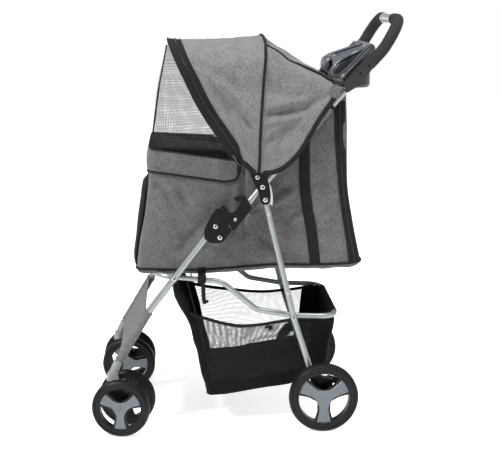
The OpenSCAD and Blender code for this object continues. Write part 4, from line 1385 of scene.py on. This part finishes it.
def cup_z(x, y):
    """Top of the cup wells: steep along the outer side, flatter and raised beside the pocket."""
    t = min(1.0, max(0.0, (152 - abs(x)) / 91))
    return (852 + (y - 219) * 1.07) * (1 - t) + (886 + (y - 219) * 0.52) * t


def pocket_plane(y):
    return 897 + (y - 206) * 0.33


def teardrop(n=64):
    pts = []
    for i in range(25):
        a = math.radians(196 + (344 - 196) * i / 24)
        pts.append((37.5 * math.cos(a), 241 + 37.5 * math.sin(a)))
    pts += [(37.3, 250), (34.5, 263), (28, 276), (19, 287), (9, 293.5), (0, 295), (-9, 293.5), (-19, 287), (-28, 276),
            (-34.5, 263), (-37.3, 250)]
    return [(p.x, p.y) for p in resample(spline([(a, b, 0) for a, b in pts], 4, True), n, True)]


drop = teardrop()
n_drop = len(drop)
for s, nm in SIDES:
    cx = s * CUP_X

    def well(u, v, cx=cx):
        i = int(round(u * n_drop)) % n_drop
        x, y = drop[i]
        z = cup_z(cx + x, y)
        ang = math.atan2(y - CUP_Y, x)
        r = 34.5
        bx, by = r * math.cos(ang), CUP_Y + r * math.sin(ang)
        k = min(1, v / 0.8)
        e = k ** 0.55
        if v > 0.8:
            f = 1 - (v - 0.8) / 0.2 * 0.985
            return Vector((cx + bx * f, CUP_Y + (by - CUP_Y) * f, CUP_FLOOR_Z))
        return Vector((cx + x + (bx - x) * e, y + (by - y) * e, z + (CUP_FLOOR_Z - z) * k))
    # Painted shade: the well walls take the darkened tray plastic
    o = shell("cup_well_" + nm, lambda u, v: well(1 - u, v), n_drop, 26, "tray", "tray", "handle", -3.0, 240, 90,
              closed=True)
    rim = [Vector((cx + x, y, cup_z(cx + x, y) + 1.0)) for x, y in drop]
    o = tube("cup_rim_" + nm, rim, 3.8, "tray_rim", "handle", closed=True, n=14,
             ups=[Vector((0, -0.73, 0.68))] * n_drop)

    def skirt(u, v, cx=cx):
        i = int(round(u * n_drop)) % n_drop
        (ax, ay), (bx, by), (x, y) = drop[i - 1], drop[(i + 1) % n_drop], drop[i]
        tx, ty = bx - ax, by - ay
        k = math.hypot(tx, ty)
        ox, oy = ty / k, -tx / k
        a = v * math.pi / 2
        reach = 13.0 if y > 235 else 9.0
        px, py = x + ox * (2 + reach * math.sin(a)), y + oy * (2 + reach * 0.75 * math.sin(a))
        px = max(-48, min(54, px)) if cx > 0 else max(-54, min(48, px))
        return Vector((cx + px, py, cup_z(cx + px,
                                          y + oy * 5 * math.sin(a)) + 2.5 - 15 * (1 - math.cos(a)) - 1.5 * v))
    o = shell("cup_deck_" + nm, skirt, n_drop, 10, "tray", "tray", "handle", 2.4, 300, 20, closed=True)

    def cheek(u, v, s=s):
        y = 210 + 86 * u
        za, zb = pocket_plane(y) + 1, cup_z(62, y) - 1
        xb = 98 - 36 + 4 * abs(u - 0.45)
        x = 47.5 + (xb - 47.5) * v
        return Vector((s * x, y, za + (zb - za) * v ** 0.8))
    o = shell("tray_cheek_" + nm, cheek if s > 0 else (lambda u, v: cheek(1 - u, v)), 24, 10, "tray_rim", "tray_rim",
              "handle", 2.4, 80, 20)

pocket = [(p.x, p.y) for p in resample(spline([(-47, 222), (-44, 213), (-34, 209), (0, 208), (34, 209), (44, 213),
                                               (47, 222), (47, 256), (47, 284),
                                                (43, 294), (30, 299), (0, 300), (-30, 299), (-43, 294), (-47, 284),
                                                (-47, 256)], 4), 72, True)]
n_pocket = len(pocket)


def pocket_wall(u, v):
    x, y = pocket[int(round(u * n_pocket)) % n_pocket]
    z = pocket_plane(y)
    k = min(1, v / 0.75)
    if v > 0.75:
        f = 1 - (v - 0.75) / 0.25 * 0.98
        return Vector((x * 0.93 * f, POCKET_Y + (y - POCKET_Y) * 0.93 * f, POCKET_FLOOR_Z))
    return Vector((x * (1 - 0.07 * k), POCKET_Y + (y - POCKET_Y) * (1 - 0.07 * k), z + (POCKET_FLOOR_Z - z) * k))


# Painted shade: the pocket walls take the darkened tray plastic
o = shell("tray_pocket", lambda u, v: pocket_wall(1 - u, v), n_pocket, 22, "tray", "tray", "handle", -2.6, 260, 70,
          closed=True)
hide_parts("cup_tray")
rim = [Vector((x, y, pocket_plane(y) + 1.0)) for x, y in pocket]
o = tube("pocket_rim", rim, 4.2, "tray_rim", "handle", closed=True, n=14, ups=[Vector((0, -0.3, 0.95))] * n_pocket)
lip_line = smooth_table([(224, 903), (212, 900.5), (202, 896), (196.5, 887), (196, 876), (198, 866)], 5)


def lip(u, v):
    k = u * (len(lip_line) - 1)
    i = min(int(k), len(lip_line) - 2)
    t = k - i
    y = lip_line[i][0] * (1 - t) + lip_line[i + 1][0] * t
    z = lip_line[i][1] * (1 - t) + lip_line[i + 1][1] * t
    w = 47 - 5 * u ** 2
    return Vector((w * (2 * v - 1), y, z - 2.0 * (2 * v - 1) ** 2))


o = shell("tray_lip", lambda u, v: lip(u, 1 - v), 26, 24, "tray_rim", "tray", "handle", 3.4, 50, 94)
for s, nm in ((0, "left"), (1, "right")):
    pts = [lip(i / 26, s) + Vector((0, 0.6, -1.6)) for i in range(27)]
    o = tube("lip_bead_" + nm, pts, 3.4, "tray_rim", "handle", n=12, ups=[Vector((1, 0, 0))] * 27)
pts = [lip(1.0, i / 30) + Vector((0, 0.4, 0)) for i in range(31)]
o = tube("lip_edge", pts, 2.6, "tray_rim", "handle", n=10, ups=[Vector((0, 0, 1))] * 31)
pts = spline([(116, 290, 926.5), (90, 297, 930), (60, 299, 929.5), (30, 300.5, 929.5), (0, 301, 929.5),
              (-30, 300.5, 929.5), (-60, 299, 929.5),
              (-90, 297, 930), (-116, 290, 926.5)], 6)
o = tube("tray_rear_bar", pts, 4.6, "tray_rim", "handle", n=12, ups=[Vector((0, 0, 1))] * len(pts))
for s, nm in SIDES:
    pts = [Vector((s * 152.5, y, cup_z(152.5, y) - 1.5)) for y in range(218, 296, 4)]
    o = tube("tray_side_bead_" + nm, pts, 2.4, "tray", "handle", n=12, ups=[Vector((s, 0, 0))] * len(pts))

# ---------- Rivet heads: pressed ring and cross slot drawn as dark marks, painted shade ---

# Rows of (body, y, z, x of the plate's face)
heads = [("front_legs", -73, 481, 202.7), ("front_legs", -83.1, 508, 202.7), ("front_legs", -182.5, 379.5, 197.5),
         ("handle", 36, 571, 202.7), ("handle", 29.3, 601.7, 202.7), ("handle", 16.8, 625.3, 202.7),
         ("rear_legs", 106, 278.5, 197.2)]
for k, (body, y, z, x) in enumerate(heads):
    for s, nm in SIDES:
        top = x + 2.4
        # Painted shade: a dark ring and two dark strips on the head stand for its pressed groove and cross slot
        ring = [Vector((s * (top + 0.05), y + 2.5 * math.cos(t), z + 2.5 * math.sin(t))) for t in circle(20)]
        tube("rivet_ring_%d_%s" % (k, nm), ring, 0.75, "coil", body, closed=True, n=6, ups=[Vector((s, 0, 0))] * 20)
        for j, (dy, dz) in enumerate(((1.8, 0.5), (-0.5, 1.8))):
            a = Vector((s * (top + 0.1), y - dy, z - dz))
            b = Vector((s * (top + 0.1), y + dy, z + dz))
            strap("rivet_slot_%d_%s_%d" % (k, nm, j), [a, b], [Vector((s, 0, 0))] * 2, 1.1, 0.4, "coil", body)

catch_face, catch_rivet = 204.1, (-36.4, 524.2)
round_head = [(3.9 * math.cos(2 * math.pi * i / 24), 3.9 * math.sin(2 * math.pi * i / 24)) for i in range(24)]
for s, nm in SIDES:
    outline = round_head if s > 0 else round_head[::-1]
    plate_from("latch_screw_" + nm, outline, lambda p, q,
               h: Vector((s * (catch_face + h), catch_rivet[0] + p, catch_rivet[1] + q)), -0.4, 1.3, 0.6,
               "steel", "latch_" + nm)
    # Painted shade: a dark ring on the screw head stands for its groove
    ring = [Vector((s * (catch_face + 1.35), catch_rivet[0] + 2.0 * math.cos(t),
                    catch_rivet[1] + 2.0 * math.sin(t))) for t in
            circle(20)]
    tube("latch_screw_ring_painted_shade_" + nm, ring, 0.6, "coil", "latch_" + nm, closed=True, n=6, ups=[Vector((s, 0, 0))] * 20)

# ---------- Straps ----------

rail_at = (-116, 372.2)
loop_down = -14        # of the loop on the handle tube, along the tube from its middle point
for s, nm in SIDES:
    ring = [Vector((s * (174 + 8.2 * math.cos(t)), rail_at[0] + 0.9 * math.sin(t),
                    rail_at[1] + 8.2 * math.sin(t))) for t in
            circle(32)]
    ups = [Vector((s * math.cos(t), 0, math.sin(t))) for t in circle(32)]
    o = strap("rail_loop_" + nm, ring, ups, 20, 1.6, "web", "rail", closed=True)
    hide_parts("rail_straps")
    pts = spline([(s * 183, rail_at[0], 371), (s * 180, rail_at[0], 382), (s * 168, rail_at[0], 391),
                  (s * 157, rail_at[0], 398)], 6)
    o = strap("rail_web_" + nm, pts, [Vector((s, 0, 0.4))] * len(pts), 20, 1.6, "web", "rail")
    pts = spline([(s * 183.5, -114, 368), (s * 184, -113, 352), (s * 184.5, -112.5, 336), (s * 183, -111, 322),
                  (s * 180, -108, 314)], 7)
    o = strap("strap_tail_" + nm, pts, [Vector((s, 0, 0))] * len(pts), 10, 1.6, "web", "rail")
    pts = [Vector((s * (181.5), -109 + 0.6 * i, 322 - 1.6 * i)) for i in range(5)]
    o = strap("tail_fold_" + nm, pts, [Vector((s, 0, 0.2))] * 5, 14, 3.4, "web", "rail")
    d = Vector((-0.08 * s, 0.66, 0.75)).normalized()
    c = Vector((s * 170.2, 203, 799.7))
    a = Vector((s, 0, 0)) - d * Vector((s, 0, 0)).dot(d)
    a.normalize()
    b = d.cross(a)
    ups = [a * math.cos(t) + b * math.sin(t) for t in circle(28)]
    ring = [c + d * loop_down + Vector((-s * loop_down * 0.08, 0, 0)) + q * 8.5 for q in ups]
    strap("tube_loop_" + nm, ring, ups, 9, 1.4, "web", "handle", closed=True)


def cuff_swell(t):
    return (1.0 + 0.04 * math.sin(t * 21) + 0.05 * slow_noise(t * 8, 3, 1) - 0.08 * max(0.0, 1 - t / 0.06)
            - 0.08 * max(0.0, 1 - (1 - t) / 0.06))


# Cloth sleeve of the hood round the lower part of the handle tube
for s, nm in SIDES:
    pts = [Vector((s * (189.5 - (y - 50) * 0.1265), y,
                   626 + (y - 50) * 1.135)) for y in [96 + 94 * i / 40 for i in range(41)]]
    # Painted shade: the hood's cuff takes the darker melange copy
    o = tube("hood_cuff_" + nm, pts, 11.4, "cloth_painted_shade", "handle", n=24, scale=cuff_swell)


def patch(name, corners, mat, body, thick, puff):
    """Four-cornered piece: first edge to third edge, a little domed."""
    a, b, c, d = [Vector(q) for q in corners]
    n = (b - a).cross(d - a).normalized()
    if n.x * a.x < 0:
        a, b, c, d = b, a, d, c
        n = -n

    def at_uv(u, v):
        return a.lerp(b, u).lerp(d.lerp(c, u), v) + n * puff * 16 * u * (1 - u) * v * (1 - v)

    o = shell(name, at_uv, 12, 12, mat, mat, body, thick, 30, 30)
    return o


for s, nm in SIDES:
    # Painted shade: the hood tip takes the darker melange copy
    patch("hood_tip_" + nm, [(s * 178, 190, 800), (s * 174, 196, 844), (s * 178, 224, 834), (s * 179, 210, 811)],
          "cloth_painted_shade", "handle",
          1.6, 1.5)
    patch("tray_heel_" + nm, [(s * 156, 197, 856), (s * 158, 224, 851), (s * 163, 232, 829), (s * 165, 217, 822)],
          "tray", "handle",
          2.6, 2.0)
    pts = spline([(s * 201, -24, 668), (s * 203.5, -10, 653), (s * 205, 1, 643), (s * 205.5, 10, 635.5)], 6)
    strap("hinge_tab_" + nm, pts, [Vector((s, 0, 0))] * len(pts), 9, 1.8, "piping", "front_bow_frame")
